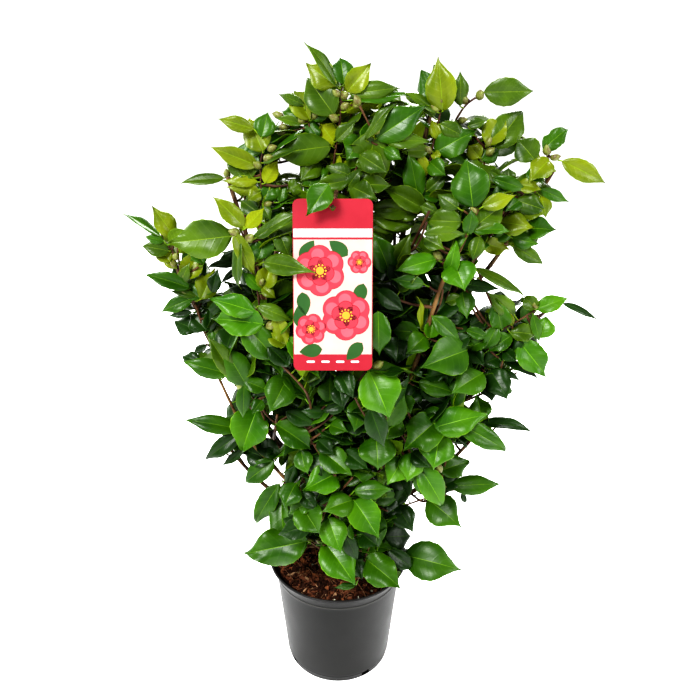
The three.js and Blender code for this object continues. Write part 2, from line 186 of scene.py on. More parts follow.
# Masses of foliage: the limb that feeds each and the share of it where its first shoot leaves,
# how many shoots it has, its spray tint and how far its leaves droop.
MASSES = {
    "top_centre": ("centre_leader", 0.84, 5, "young", 0.0),
    "top_left": ("top_left_bough", 0.80, 4, "young", 0.1),
    "upper_left": ("left_leader", 0.86, 4, "young", 0.1),
    "left_arm": ("left_main_bough", 0.86, 5, "young", 0.2),
    "left_elbow": ("left_elbow_bough", 0.70, 5, "green", 0.3),
    "left_middle": ("left_middle_bough", 0.70, 4, "green", 0.4),
    "left_lower": ("left_low_bough", 0.75, 5, "green", 0.5),
    "left_skirt": ("left_low_bough", 0.55, 5, "green", 0.6),
    "pot_left": ("left_foot_shoot", 0.70, 1, "green", 0.5),
    "top_right": ("right_leader", 0.88, 4, "young", 0.0),
    "right_top": ("right_top_bough", 0.75, 3, "young", 0.1),
    "right_tip": ("right_tip_bough", 0.75, 5, "young", 0.2),
    "right_upper": ("right_main_bough", 0.84, 5, "green", 0.3),
    "right_arm": ("right_arm_bough", 0.75, 5, "green", 0.3),
    "right_middle": ("right_middle_bough", 0.70, 5, "green", 0.4),
    "right_lower": ("right_low_bough", 0.75, 5, "green", 0.5),
    "right_skirt": ("right_low_bough", 0.55, 5, "green", 0.6),
    "pot_right": ("right_foot_shoot", 0.70, 1, "green", 0.5),
    "front_skirt": ("front_low_bough", 0.35, 5, "green", 0.8),
    "front_right": ("front_bough", 0.80, 4, "dark", 0.6),
    "front_low": ("front_low_bough", 0.70, 4, "dark", 0.7),
    "front_left": ("left_middle_bough", 0.30, 4, "dark", 0.6),
    "inner_top": ("centre_leader", 0.70, 8, "dark", 0.2),
    "heart": ("centre_leader", 0.45, 12, "dark", 0.3),
    "front_upper_right": ("right_leader", 0.62, 4, "dark", 0.3),
    "front_upper_left": ("left_leader", 0.60, 4, "dark", 0.4),
    "right_heart": ("right_main_bough", 0.55, 4, "dark", 0.4),
    "back_top": ("right_leader", 0.66, 5, "green", 0.2),
    "back_top_left": ("back_left_bough", 0.80, 5, "green", 0.2),
    "back_right": ("back_right_bough", 0.80, 5, "green", 0.3),
    "back_far_right": ("back_right_bough", 0.55, 5, "dark", 0.4),
    "back_middle": ("back_left_bough", 0.55, 6, "dark", 0.4),
    "back_left": ("back_left_bough", 0.45, 5, "dark", 0.4),
    "back_low_left": ("back_left_bough", 0.22, 7, "dark", 0.8),
    "back_low_right": ("back_right_bough", 0.22, 7, "dark", 0.8),
}

# Leaf blade: the rows of its grid along the length, its columns across as shares of the half width,
# the mean and spread of its bend, fold, arch, wave and sideways roll and of its half width as a share
# of the length, and the breadth over the length of a blade that is seen square on.
LEAF_ROWS = 18
LEAF_COLUMNS = np.array([-1.0, -0.965, -0.66, -0.32, -0.018, 0.018, 0.32, 0.66, 0.965, 1.0])
LEAF_THICKNESS = 0.00045
LEAF_BEND = (0.5, 0.3)
LEAF_FOLD = (0.54, 0.17)
LEAF_ARCH = (0.42, 0.13)
LEAF_WAVE = (0.0, 0.075)
LEAF_ROLL = (0.0, 0.22)
HALF_SHARE = (0.285, 0.02)
LEAF_BREADTH = 0.52
LEAVES_IN_A_PIECE = 300
PETIOLE_LENGTH = 0.008
PETIOLE_RADIUS = 0.0008

# The steps of the view that a metre of depth counts for when a spray looks for its limb.
DEPTH_WEIGHT = 260

# Leaves of the crown's face: the slimmest half width as a share of the length, the widest half width,
# what the fold of a blade takes off it, the most that a tip leans to the eye or away, the foremost
# place of a tip, and the gap past which a leaf has a side twig of its own.
SLIM_SHARE = 0.13
WIDEST_HALF = 0.021
WIDTH_EASE = 1.18
LEAN_MOST = 0.036
FOREMOST = -0.196
TWIG_GAP = 0.013

# Leaves behind the face: the share of a shoot that has leaves, a leaf's lean in degrees at the tip and
# what the foot adds, the gap between leaves down a twig and between spurs down a bough, the share of a
# bough that has spurs, the shoots of the skirt, the lowest place of a leaf, how far one may pass the
# frame's box, and the room that it keeps beside and above the pot's rim.
LEAFY_SHARE = 0.8
TIP_LEAN = 32
FOOT_LEAN = 42
LEAF_GAP = 0.0105
SPUR_GAP = 0.045
SPUR_REACH = 0.66
SKIRT_SHOOTS = 11
LEAF_FLOOR = 0.135
BOX_ROOM = 0.012
RIM_ROOM = (0.006, 0.004)

# The crown's middle seen from above, the radii of a bough inside it, and how far before its face a
# grown leaf starts to hide it.
CROWN_MIDDLE = np.array([0.02, 0.0])
INNER_BOUGH = (0.0022, 0.0014)
FACE_ROOM = 0.002

# Buds: shares of the length and of the radius from foot to tip.
BUD_PROFILE = np.array([
    (0.0, 0.30), (0.10, 0.62), (0.24, 0.90), (0.40, 1.00),
    (0.56, 0.94), (0.70, 0.76), (0.83, 0.48), (0.94, 0.2),
])
BUD_LENGTH = 0.0118
BUD_RADIUS = 0.0041
BUD_SIDES = 12

# Sprays of the crown's face: depth along Y in metres, the route of the twig, its leaves and its buds.
# Places are steps across and down the view. Each leaf is base, tip, visible breadth and tint and then,
# where it needs them, the side that shows and how far its tip stands forward in metres.
D, G, F, Y = "dark", "green", "fresh", "young"
FACE, UNDER = 1, -1
SPRAYS = {
    "crown_top": (-0.010, [(333, 200), (333, 165), (338, 135), (341, 110), (342, 86)], [
        (338, 88, 304, 42, 10, D), (336, 86, 306, 63, 23, Y, FACE, -0.01), (344, 84, 340, 57, 20, G),
        (347, 92, 371, 63, 19, Y), (334, 115, 307, 78, 29, D), (345, 112, 397, 93, 14, Y, UNDER),
        (352, 100, 412, 97, 13, D), (350, 94, 400, 88, 17, D), (334, 142, 319, 122, 22, Y, UNDER),
        (336, 141, 356, 121, 14, G), (331, 146, 272, 155, 27, G), (341, 170, 352, 154, 16, Y, UNDER),
        (340, 166, 329, 152, 11, Y, UNDER), (362, 140, 346, 161, 24, G),
    ], [(336, 93), (345, 95), (345, 106), (334, 118), (358, 105)]),
    "crown_right_of_top": (-0.030, [(344, 198), (352, 178), (360, 160), (368, 146), (374, 134)], [
        (372, 137, 412, 111, 20, Y, UNDER), (376, 139, 426, 106, 27, D), (366, 140, 398, 103, 10, D),
        (360, 155, 388, 173, 19, G), (356, 165, 380, 160, 16, D), (384, 141, 430, 142, 14, D),
        (384, 148, 402, 160, 13, D), (350, 180, 311, 188, 15, D), (352, 176, 326, 166, 15, G),
        (360, 184, 392, 186, 15, D), (350, 186, 378, 200, 20, D), (346, 190, 362, 168, 12, D),
    ], [(377, 130), (357, 100)]),
    "crown_left_of_top": (0.000, [(322, 190), (319, 165), (314, 148), (310, 130), (308, 120)], [
        (310, 120, 293, 91, 22, Y), (304, 105, 278, 94, 9, D), (300, 114, 282, 112, 10, D),
        (312, 120, 330, 106, 14, D), (302, 124, 275, 118, 8, D), (318, 160, 300, 182, 20, D),
        (316, 152, 296, 162, 14, D), (320, 165, 318, 188, 14, G), (318, 168, 304, 196, 18, D),
        (322, 175, 344, 182, 14, G), (314, 148, 330, 158, 14, D), (318, 138, 305, 119, 14, D),
    ], [(278, 115), (283, 127), (300, 120), (314, 115), (281, 133)]),
    "upper_left_shoot": (-0.022, [(261, 232), (261, 200), (261, 180), (260, 163), (264, 148), (262, 138)], [
        (263, 152, 249, 117, 24, Y), (254, 129, 218, 119, 13, Y), (258, 166, 211, 147, 16, Y),
        (265, 183, 278, 160, 14, Y, UNDER), (263, 163, 301, 150, 8, G), (262, 137, 268, 112, 19, D),
        (252, 178, 241, 156, 17, D), (246, 176, 227, 157, 15, D), (258, 182, 222, 181, 10, Y),
        (259, 190, 226, 187, 12, Y), (260, 192, 247, 201, 12, Y), (264, 202, 273, 180, 19, D),
        (280, 202, 284, 183, 12, D), (300, 184, 286, 192, 13, D), (262, 205, 271, 221, 10, G),
        (258, 212, 240, 200, 16, D), (262, 215, 282, 210, 14, D),
    ], [(272, 148), (268, 158), (257, 165), (268, 204)]),
    "far_left_tip": (0.020, [(245, 196), (236, 184), (228, 176)], [
        (224, 178, 180, 184, 10, D), (229, 206, 223, 220, 7, D),
    ], [(227, 173)]),
    "left_of_tag_shoot": (-0.120, [(262, 320), (258, 296), (257, 270), (251, 254), (246, 242), (240, 228)], [
        (244, 227, 213, 197, 16, Y), (246, 228, 264, 208, 13, Y, UNDER), (245, 228, 232, 213, 10, Y, UNDER),
        (256, 238, 304, 214, 11, G), (232, 236, 167, 243, 33, G), (234, 232, 256, 277, 14, Y),
        (258, 259, 270, 226, 21, D), (264, 262, 316, 273, 18, G, FACE, 0.035), (240, 240, 242, 290, 10, G),
        (262, 290, 242, 271, 11, F), (264, 289, 271, 265, 18, Y), (262, 287, 276, 299, 10, Y),
        (278, 230, 290, 258, 16, D),
    ], [(234, 232), (250, 238), (261, 282)]),
    "small_far_leaves": (0.050, [(262, 300), (250, 275), (243, 258)], [
        (240, 258, 221, 252, 6, D), (240, 262, 207, 268, 8, D), (240, 266, 221, 284, 6, D),
        (238, 251, 219, 260, 7, D), (252, 294, 229, 288, 13, D), (252, 262, 262, 250, 12, D),
    ], []),
    "behind_tag": (-0.040, [(398, 300), (393, 286), (389, 272)], [
        (389, 271, 372, 231, 22, D), (391, 272, 411, 232, 17, D), (384, 282, 368, 300, 14, D),
        (394, 296, 378, 316, 14, D),
    ], []),
    "tag_tip_leaf": (-0.130, [(333, 200), (330, 188)], [
        (329, 184, 307, 216, 22, G, FACE, 0.012),
    ], []),
    "big_left_leaves": (-0.145, [(312, 398), (293, 376), (278, 362), (269, 346), (259, 328), (256, 308)], [
        (264, 324, 213, 319, 27, F), (256, 312, 209, 299, 20, F), (258, 306, 292, 321, 14, G),
        (242, 322, 275, 361, 28, G, FACE, -0.01), (285, 345, 266, 334, 12, Y), (276, 315, 287, 347, 15, Y),
        (288, 338, 321, 380, 18, F, FACE, 0.02), (268, 346, 290, 368, 16, D), (280, 366, 296, 350, 12, D),
    ], [(268, 315), (271, 325)]),
    "left_middle_leaves": (-0.100, [(262, 412), (256, 400), (246, 392), (236, 382), (230, 374)], [
        (229, 374, 182, 361, 17, G), (200, 363, 182, 356, 13, D), (234, 377, 206, 334, 16, G),
        (247, 386, 221, 342, 24, G), (243, 380, 271, 392, 14, G), (244, 383, 243, 418, 13, G),
        (288, 376, 269, 413, 27, G), (262, 400, 252, 414, 12, G), (257, 396, 270, 380, 12, D),
        (252, 396, 262, 374, 16, D),
    ], [(230, 378), (240, 386)]),
    "left_arm_shoot": (-0.030, [(247, 395), (218, 352), (203, 330), (198, 310), (184, 283), (176, 266),
        (172, 250)], [
        (175, 237, 152, 206, 18, Y), (160, 236, 122, 214, 8, D), (169, 251, 142, 246, 14, G),
        (164, 241, 145, 237, 9, D), (170, 262, 158, 246, 15, Y), (190, 288, 145, 275, 14, G),
        (186, 278, 199, 252, 19, Y), (204, 264, 191, 246, 14, D), (200, 298, 181, 284, 15, G),
        (196, 296, 170, 291, 7, D), (201, 299, 215, 269, 20, Y), (212, 292, 218, 268, 12, D),
        (193, 298, 162, 312, 13, G), (192, 312, 168, 316, 7, D), (197, 330, 174, 321, 18, D),
        (206, 330, 190, 314, 20, D), (210, 331, 209, 307, 11, D), (222, 342, 214, 324, 18, G),
        (207, 345, 193, 354, 7, D), (176, 268, 163, 256, 10, Y), (180, 284, 190, 262, 10, D),
        (214, 340, 234, 326, 14, D), (210, 316, 226, 298, 12, D),
    ], [(176, 256), (173, 264), (183, 274), (185, 293)]),
    "low_left_shoot": (-0.055, [(323, 502), (290, 485), (267, 458), (251, 443), (239, 421), (218, 376)], [
        (240, 429, 184, 420, 16, G), (242, 432, 205, 460, 15, D), (244, 450, 222, 466, 8, D),
        (257, 409, 243, 451, 33, F, FACE, 0.02), (274, 460, 245, 482, 18, G), (272, 461, 244, 449, 22, D),
        (277, 456, 256, 437, 16, D), (279, 484, 256, 523, 18, G), (286, 495, 274, 529, 19, G),
        (290, 484, 276, 500, 9, D), (288, 484, 296, 462, 12, D), (262, 452, 276, 440, 12, D),
    ], []),
    "low_middle_leaves": (-0.105, [(340, 520), (332, 480), (318, 450), (300, 425), (290, 412)], [
        (276, 424, 312, 450, 21, G), (286, 411, 316, 426, 15, D), (325, 413, 300, 411, 11, D),
        (301, 450, 308, 474, 17, G), (321, 450, 352, 476, 23, G), (337, 473, 303, 491, 25, F),
        (345, 452, 369, 470, 18, D), (376, 438, 378, 470, 32, G, FACE, 0.02), (318, 440, 334, 455, 14, D),
        (322, 440, 340, 432, 18, D), (330, 402, 330, 376, 20, G), (345, 404, 322, 412, 12, D),
        (312, 455, 322, 476, 16, D), (330, 425, 348, 432, 14, G),
    ], []),
    "skirt_leaves": (-0.115, [(345, 540), (340, 520), (330, 510), (318, 500), (305, 495)], [
        (353, 500, 322, 512, 22, G), (354, 491, 393, 489, 17, G), (354, 500, 379, 538, 27, F),
        (296, 483, 284, 508, 20, G), (302, 506, 320, 534, 26, G), (328, 517, 341, 553, 24, F, FACE, 0.026),
        (312, 524, 279, 535, 18, D), (308, 541, 242, 554, 33, G), (324, 542, 355, 585, 31, F),
        (316, 500, 288, 514, 14, G), (300, 492, 318, 510, 14, D), (345, 535, 357, 560, 14, D),
        (362, 534, 378, 546, 18, D), (340, 487, 322, 480, 12, D),
    ], [(320, 518), (309, 540), (319, 541)]),
    "rim_leaves": (-0.092, [(372, 520), (374, 535), (368, 550), (365, 558)], [
        (366, 559, 401, 588, 27, G), (357, 560, 362, 580, 13, D), (356, 585, 334, 588, 6, G),
        (388, 550, 414, 569, 15, D),
    ], []),
    "right_rim_leaf": (-0.055, [(375, 540), (392, 548), (402, 554)], [
        (404, 555, 461, 570, 32, G),
    ], []),
    "low_right_shoot": (-0.050, [(378, 520), (402, 506), (430, 497)], [
        (428, 499, 461, 527, 28, G), (385, 537, 411, 536, 28, D), (396, 505, 413, 532, 20, D),
        (396, 504, 405, 488, 12, D), (390, 500, 386, 484, 10, D), (400, 505, 384, 516, 14, D),
    ], []),
    "right_low_leaves": (-0.095, [(380, 470), (395, 455), (410, 445), (428, 436), (440, 430)], [
        (418, 465, 441, 505, 23, F), (403, 458, 387, 485, 21, F), (413, 453, 407, 482, 22, F),
        (418, 474, 418, 493, 9, F), (440, 432, 433, 470, 31, F), (434, 423, 403, 451, 31, G),
        (450, 429, 416, 414, 24, F), (433, 428, 487, 415, 26, F), (455, 422, 506, 451, 19, G),
        (392, 418, 386, 442, 26, G), (401, 396, 411, 414, 17, G), (362, 398, 354, 432, 21, G),
        (395, 455, 380, 440, 14, D), (412, 452, 430, 468, 16, D), (378, 455, 396, 440, 14, D),
    ], [(439, 468)]),
    "right_far_low_leaves": (-0.040, [(425, 505), (438, 490), (442, 478), (450, 440), (470, 425)], [
        (450, 486, 501, 484, 17, G), (462, 492, 465, 504, 5, D), (440, 471, 469, 462, 21, G),
        (442, 486, 460, 478, 14, D), (482, 420, 477, 395, 19, F), (480, 424, 533, 433, 10, D),
        (459, 440, 468, 449, 3, D),
    ], [(443, 487)]),
    "big_middle_leaf": (-0.150, [(352, 396), (356, 384), (368, 368)], [
        (369, 371, 388, 418, 38, F, FACE, 0.016), (378, 311, 379, 356, 21, G),
        (352, 384, 366, 398, 16, D), (370, 408, 384, 447, 20, D),
        (340, 372, 353, 398, 18, D), (338, 384, 344, 410, 16, D),
    ], [(378, 365)]),
    "right_bough_leaves": (-0.075, [(390, 415), (401, 394), (413, 372), (425, 336), (433, 310),
        (444, 277), (459, 253), (478, 209)], [
        (467, 350, 420, 368, 34, G), (425, 336, 406, 355, 19, G), (398, 339, 396, 364, 29, D),
        (483, 373, 451, 394, 26, G), (418, 382, 456, 394, 17, G), (425, 378, 448, 374, 12, D),
        (420, 388, 450, 402, 15, D), (432, 316, 459, 341, 15, G), (430, 338, 433, 318, 14, F),
        (419, 332, 392, 331, 17, G), (421, 330, 417, 296, 5, Y), (424, 284, 391, 279, 12, G),
        (376, 290, 404, 311, 15, D), (437, 259, 395, 271, 18, F),
        (454, 263, 465, 291, 30, F), (448, 275, 456, 240, 13, F), (480, 236, 472, 261, 14, G),
        (473, 208, 467, 159, 33, G), (482, 207, 516, 195, 14, Y), (472, 229, 504, 206, 23, G),
        (468, 234, 472, 208, 13, G), (462, 222, 427, 221, 21, G), (424, 234, 466, 234, 13, D),
        (424, 238, 445, 250, 14, D), (472, 231, 512, 232, 10, G), (441, 448, 420, 452, 12, D),
        (452, 345, 470, 336, 14, D), (458, 208, 437, 194, 16, D),
    ], [(473, 210), (438, 256)]),
    "behind_right_bough": (-0.045, [(432, 340), (441, 312), (450, 288), (456, 274)], [
        (444, 318, 464, 318, 13, D), (446, 302, 462, 298, 12, D), (450, 290, 428, 275, 14, D),
        (438, 318, 414, 296, 15, D), (434, 336, 414, 352, 15, D), (436, 334, 452, 326, 12, D),
    ], []),
    "right_upper_leaves": (-0.035, [(470, 264), (478, 250), (490, 236), (500, 224), (514, 205),
        (530, 185), (545, 165), (549, 154)], [
        (500, 222, 534, 228, 20, Y), (528, 228, 556, 230, 19, G), (494, 240, 513, 229, 13, G),
        (481, 243, 509, 250, 14, Y), (512, 238, 539, 244, 15, G), (513, 246, 543, 264, 13, D),
        (515, 200, 547, 211, 18, G), (541, 196, 546, 218, 15, Y), (523, 212, 545, 214, 13, Y),
        (540, 189, 569, 202, 10, D), (492, 178, 526, 190, 12, G), (508, 182, 508, 168, 12, D),
        (500, 176, 489, 170, 8, D), (535, 160, 517, 139, 23, D), (543, 149, 568, 129, 17, D),
        (549, 160, 528, 183, 20, Y), (562, 161, 605, 183, 17, Y), (530, 168, 543, 184, 14, D),
        (518, 184, 541, 190, 13, Y), (505, 190, 490, 200, 12, D), (520, 200, 505, 212, 12, D),
    ], [(547, 150), (556, 157)]),
    "right_top_shoot": (0.000, [(484, 225), (482, 200), (484, 165), (486, 148)], [
        (486, 145, 503, 119, 21, Y), (494, 148, 523, 110, 27, D), (482, 160, 499, 150, 14, D),
        (480, 158, 468, 145, 15, Y), (468, 126, 486, 121, 9, D), (486, 170, 500, 182, 12, D),
        (482, 180, 470, 168, 14, D),
    ], [(489, 142), (490, 152)]),
    "top_right_spur": (0.005, [(441, 150), (450, 130), (457, 118), (465, 105), (476, 97), (482, 96)], [
        (484, 92, 533, 91, 23, D), (460, 106, 460, 71, 15, G), (447, 140, 470, 132, 10, D),
    ], [(463, 92), (480, 95), (463, 120), (464, 99)]),
    "right_leader_shoot": (-0.015, [(417, 214), (424, 185), (430, 160), (436, 130), (440, 116), (441, 104)], [
        (443, 111, 438, 57, 26, Y), (437, 102, 421, 70, 21, G), (437, 112, 403, 93, 9, D),
        (440, 139, 431, 120, 12, Y), (434, 153, 476, 131, 24, G), (440, 124, 464, 137, 14, D),
        (433, 152, 441, 161, 8, Y), (424, 177, 421, 150, 11, Y), (418, 197, 409, 150, 19, G),
        (413, 213, 365, 207, 17, D), (414, 224, 362, 215, 18, D),
        (427, 191, 448, 172, 13, G), (422, 208, 382, 188, 19, G), (419, 214, 414, 203, 12, Y),
        (430, 162, 446, 176, 16, D), (428, 168, 450, 162, 13, D), (430, 150, 400, 152, 12, D),
        (422, 196, 442, 196, 14, D), (418, 214, 392, 214, 14, D), (414, 224, 362, 226, 15, D),
        (420, 205, 440, 214, 12, D),
    ], [(435, 108), (428, 150), (440, 100)]),
    "right_arm_shoot": (-0.035, [(462, 372), (480, 345), (500, 330), (520, 320), (535, 310), (541, 308)], [
        (536, 309, 568, 299, 15, F), (535, 308, 524, 296, 13, G), (563, 303, 598, 321, 7, D),
        (533, 314, 539, 342, 9, G), (541, 338, 546, 316, 19, F), (510, 332, 539, 335, 15, G),
        (518, 340, 546, 376, 24, F), (502, 330, 493, 296, 18, G), (514, 314, 487, 292, 16, G),
        (512, 325, 506, 309, 7, Y), (476, 268, 525, 298, 10, G), (462, 292, 467, 319, 19, G),
        (470, 326, 492, 314, 17, D), (466, 330, 488, 338, 10, G), (512, 335, 488, 352, 15, G),
        (497, 326, 484, 350, 14, G), (487, 340, 464, 350, 13, G), (482, 364, 508, 353, 16, D),
        (504, 350, 517, 362, 11, D), (503, 362, 538, 380, 8, D), (495, 372, 521, 384, 6, D),
        (490, 370, 508, 400, 23, D), (486, 376, 492, 402, 18, D), (462, 284, 500, 289, 11, D),
        (470, 350, 484, 366, 14, D),
    ], [(535, 305)]),
}

# Twigs: radius at the foot, what each metre of length adds to it on the face, behind it and on a side
# twig, and radius at the tip. Then the foot of the routes that are boughs in full view, the radius
# past which a twig is stout, and the tip of a stout one.
TWIG_FOOT = 0.0011
FACE_TWIG_GROWTH = 0.0022
SHOOT_GROWTH = 0.006
SIDE_TWIG_FOOT = 0.0012
SIDE_TWIG_GROWTH = 0.01
TWIG_TIP = 0.0010
STOUT_ROUTES = {"right_bough_leaves": 0.0034, "low_left_shoot": 0.0030}
STOUT = 0.0028
STOUT_TIP = 0.0015

# The crown's outline and the openings through it that the leaves behind its face keep clear of.
CROWN_OUTLINE = np.array([
    (300, 98), (310, 64), (345, 60), (368, 70), (372, 86), (418, 98), (420, 76), (437, 64), (452, 76),
    (465, 80),
    (462, 110), (480, 122), (505, 114), (520, 114), (516, 132), (498, 150), (496, 168), (514, 170),
    (520, 150),
    (540, 141), (560, 136), (556, 150), (556, 165), (590, 168), (598, 176), (560, 176), (548, 190),
    (554, 200),
    (550, 232), (520, 248), (498, 256), (480, 262), (476, 285), (500, 290), (530, 298), (562, 302),
    (552, 316),
    (550, 335), (545, 362), (520, 360), (500, 374), (504, 396), (485, 404), (487, 420), (516, 423),
    (498, 440),
    (470, 438), (460, 452), (466, 466), (462, 480), (486, 485), (462, 492), (450, 500), (458, 520),
    (440, 526),
    (425, 510), (402, 508), (415, 530), (404, 545), (398, 572), (385, 578), (365, 560), (335, 556),
    (318, 545),
    (305, 558), (280, 560), (262, 552), (290, 535), (276, 515), (262, 508), (258, 498), (274, 488),
    (278, 475),
    (252, 474), (240, 455), (218, 452), (225, 435), (200, 425), (192, 416), (236, 410), (226, 382),
    (192, 362),
    (206, 340), (182, 322), (168, 308), (180, 295), (152, 272), (166, 262), (150, 243), (166, 232),
    (156, 210),
    (170, 215), (178, 232), (200, 240), (200, 262), (214, 270), (222, 286), (240, 290), (236, 262),
    (242, 240),
    (226, 212), (220, 200), (245, 205), (255, 195), (227, 185), (227, 165), (240, 160), (218, 150),
    (250, 146),
    (224, 122), (250, 118), (275, 120), (282, 98),
])
OPENINGS = [
    (281, 222, 6), (262, 196, 3), (286, 177, 8), (390, 229, 6), (378, 272, 4), (461, 206, 9), (275, 405, 4),
    (262, 400, 5), (318, 411, 3), (426, 405, 3), (440, 407, 3), (334, 482, 3), (410, 492, 10), (413, 508, 9),
    (434, 452, 5), (480, 303, 10), (510, 160, 7), (488, 262, 8), (225, 240, 5), (425, 134, 6), (452, 111, 8),
    (452, 304, 6), (412, 288, 3), (448, 238, 7), (230, 254, 6), (231, 272, 8), (277, 440, 6),
    (276, 416, 4), (461, 456, 6), (396, 162, 5), (320, 150, 4), (317, 108, 4), (360, 112, 4), (394, 246, 3),
    (500, 296, 4), (446, 156, 4), (560, 172, 8), (232, 396, 8), (234, 190, 4), (250, 194, 4),
]

# Leaves are painted more olive over a stretch of height, a painted sheen of the light that falls on the
# crown's top: where that starts, how high it is, the most of them that turn, and the share of it past which a
# dark leaf is green.
OLIVE_FROM = 0.49
OLIVE_SPAN = 0.19
OLIVE_MOST = 0.58
GREEN_FROM = 0.6


# ---- shader maths

class Value:
    """A socket of a shader: arithmetic on it adds Math nodes."""

    def __init__(self, shader, socket):
        self.shader = shader
        self.socket = socket

    def math(self, operation, first, second):
        return self.shader.add("ShaderNodeMath", {"operation": operation}, {0: first, 1: second})

    def pingpong(self, scale):
        return self.math("PINGPONG", self, scale)

    def __abs__(self):
        return self.math("ABSOLUTE", self, 0.0)

    def __pow__(self, other):
        return self.math("POWER", self, other)

    def __add__(self, other):
        return self.math("ADD", self, other)

    def __sub__(self, other):
        return self.math("SUBTRACT", self, other)

    def __rsub__(self, other):
        return self.math("SUBTRACT", other, self)

    def __mul__(self, other):
        return self.math("MULTIPLY", self, other)

    def __radd__(self, other):
        return self.math("ADD", other, self)

    def __rmul__(self, other):
        return self.math("MULTIPLY", other, self)


class Shader:
    """A material's node tree, built from expressions."""

    def __init__(self, name):
        self.material = bpy.data.materials.new(name)
        self.material.use_nodes = True
        self.nodes = self.material.node_tree.nodes
        self.links = self.material.node_tree.links
        self.nodes.clear()

    def add(self, kind, settings=None, sockets=None, output=0):
        node = self.nodes.new(kind)
        for key, value in (settings or {}).items():
            if key == "stops":
                self.set_stops(node.color_ramp, value)
            else:
                setattr(node, key, value)
        for key, value in (sockets or {}).items():
            if isinstance(value, Value):
                self.links.new(value.socket, node.inputs[key])
            else:
                node.inputs[key].default_value = value
        return Value(self, node.outputs[output])

    @staticmethod
    def set_stops(ramp, stops):
        while len(ramp.elements) < len(stops):
            ramp.elements.new(0.5)
        for element, (place, level) in zip(ramp.elements, stops):
            element.position = place
            element.color = (level, level, level, 1)

    def place(self):
        return self.add("ShaderNodeTexCoord", output=3)

    def noise(self, scale, detail=2.0, roughness=0.5, stretch=None):
        where = self.place()
        if stretch:
            where = self.add("ShaderNodeVectorMath", {"operation": "MULTIPLY"}, {0: where, 1: stretch})
        sockets = {"Vector": where, "Scale": scale, "Detail": detail, "Roughness": roughness}
        return self.add("ShaderNodeTexNoise", None, sockets)

    def ramp(self, value, stops):
        return self.add("ShaderNodeValToRGB", {"stops": stops}, {"Fac": value})

    def mix(self, factor, first, second):
        sockets = {0: factor, 6: colour(first), 7: colour(second)}
        return self.add("ShaderNodeMix", {"data_type": "RGBA"}, sockets, output=2)

    def bump(self, height, strength, distance):
        sockets = {"Height": height, "Strength": strength, "Distance": distance}
        return self.add("ShaderNodeBump", None, sockets)

    def finish(self, base, roughness, normal=None, **constants):
        sockets = {"Base Color": colour(base), "Roughness": roughness}
        if normal is not None:
            sockets["Normal"] = normal
        for key, value in constants.items():
            sockets[key.replace("_", " ")] = value
        surface = self.add("ShaderNodeBsdfPrincipled", None, sockets)
        self.add_output(surface)
        return self.material

    def add_output(self, surface):
        node = self.nodes.new("ShaderNodeOutputMaterial")
        self.links.new(surface.socket, node.inputs["Surface"])


def colour(value):
    return value if isinstance(value, Value) else (*value[:3], 1.0)


def screen(red, green, blue):
    """A linear colour from the 0 to 255 values of a screen."""
    shares = [c / 255 for c in (red, green, blue)]
    return tuple(((c + 0.055) / 1.055) ** 2.4 if c > 10 / 255 else c / 12.92 for c in shares)


# ---- finishes

def vein_lines(s):
    """Side veins that leave the midrib and run forward to the margin: 1 on a vein, 0 between."""
    spot = s.add("ShaderNodeUVMap", {"uv_map": "blade"})
    beside = s.add("ShaderNodeSeparateXYZ", None, {0: spot}, output=0)
    ahead = s.add("ShaderNodeSeparateXYZ", None, {0: spot}, output=1)
    away = abs(beside * 2.0 - 1.0)
    phase = (ahead - 0.20 * away ** 1.2) * 8.0
    return s.ramp(phase.pingpong(0.5), [(0.0, 1.0), (0.11, 0.0)])


def leaf_face(name, deep, bright):
    s = Shader(name)
    veins = vein_lines(s)
    patch = s.ramp(s.noise(26.0, 3.0), [(0.34, 0.0), (0.66, 1.0)])
    base = s.mix(veins * 0.12, s.mix(patch, deep, bright), lighter(bright))
    height = 0.6 * s.noise(240.0, 2.0) - veins * 0.5 + s.noise(75.0, 1.0)
    rough = 0.23 + 0.2 * s.noise(60.0, 2.0)
    return s.finish(base, rough, s.bump(height, 0.24, 0.0006), Specular_IOR_Level=0.22)


# The under side's pale yellow-green is partly the leaf's own paler under side and partly a painted glow of
# light shining through the blade.
def leaf_under(name, deep, bright):
    s = Shader(name)
    veins = vein_lines(s)
    patch = s.ramp(s.noise(19.0, 2.0), [(0.35, 0.0), (0.65, 1.0)])
    base = s.mix(veins * 0.25, s.mix(patch, deep, bright), lighter(bright))
    height = s.noise(120.0, 2.0) + veins * 0.5
    return s.finish(base, 0.52, s.bump(height, 0.16, 0.0005), Specular_IOR_Level=0.08)


def lighter(tone):
    return tuple(min(1.0, c * 1.5 + 0.02) for c in tone)


def leaf_rib(name, first, second):
    s = Shader(name)
    base = s.mix(s.noise(40.0, 2.0), first, second)
    return s.finish(base, 0.42, s.bump(s.noise(400.0, 1.0), 0.15, 0.0004), Specular_IOR_Level=0.15)


def stem_bark():
    s = Shader("stem_bark")
    streak = s.noise(300.0, 4.0, 0.6, stretch=(1.0, 1.0, 0.18))
    patch = s.ramp(s.noise(45.0, 3.0), [(0.35, 0.0), (0.65, 1.0)])
    brown = s.mix(patch, screen(74, 50, 30), screen(118, 98, 70))
    base = s.mix(s.ramp(streak, [(0.42, 0.0), (0.6, 1.0)]), brown, screen(44, 28, 18))
    height = streak + s.noise(900.0, 2.0) * 0.4
    return s.finish(base, 0.78, s.bump(height, 0.6, 0.0009), Specular_IOR_Level=0.15)


def bark_finish(name, dark, light):
    s = Shader(name)
    patch = s.ramp(s.noise(55.0, 2.0), [(0.38, 0.0), (0.62, 1.0)])
    base = s.mix(patch, dark, light)
    return s.finish(base, 0.6, s.bump(s.noise(700.0, 2.0), 0.4, 0.0005), Specular_IOR_Level=0.2)


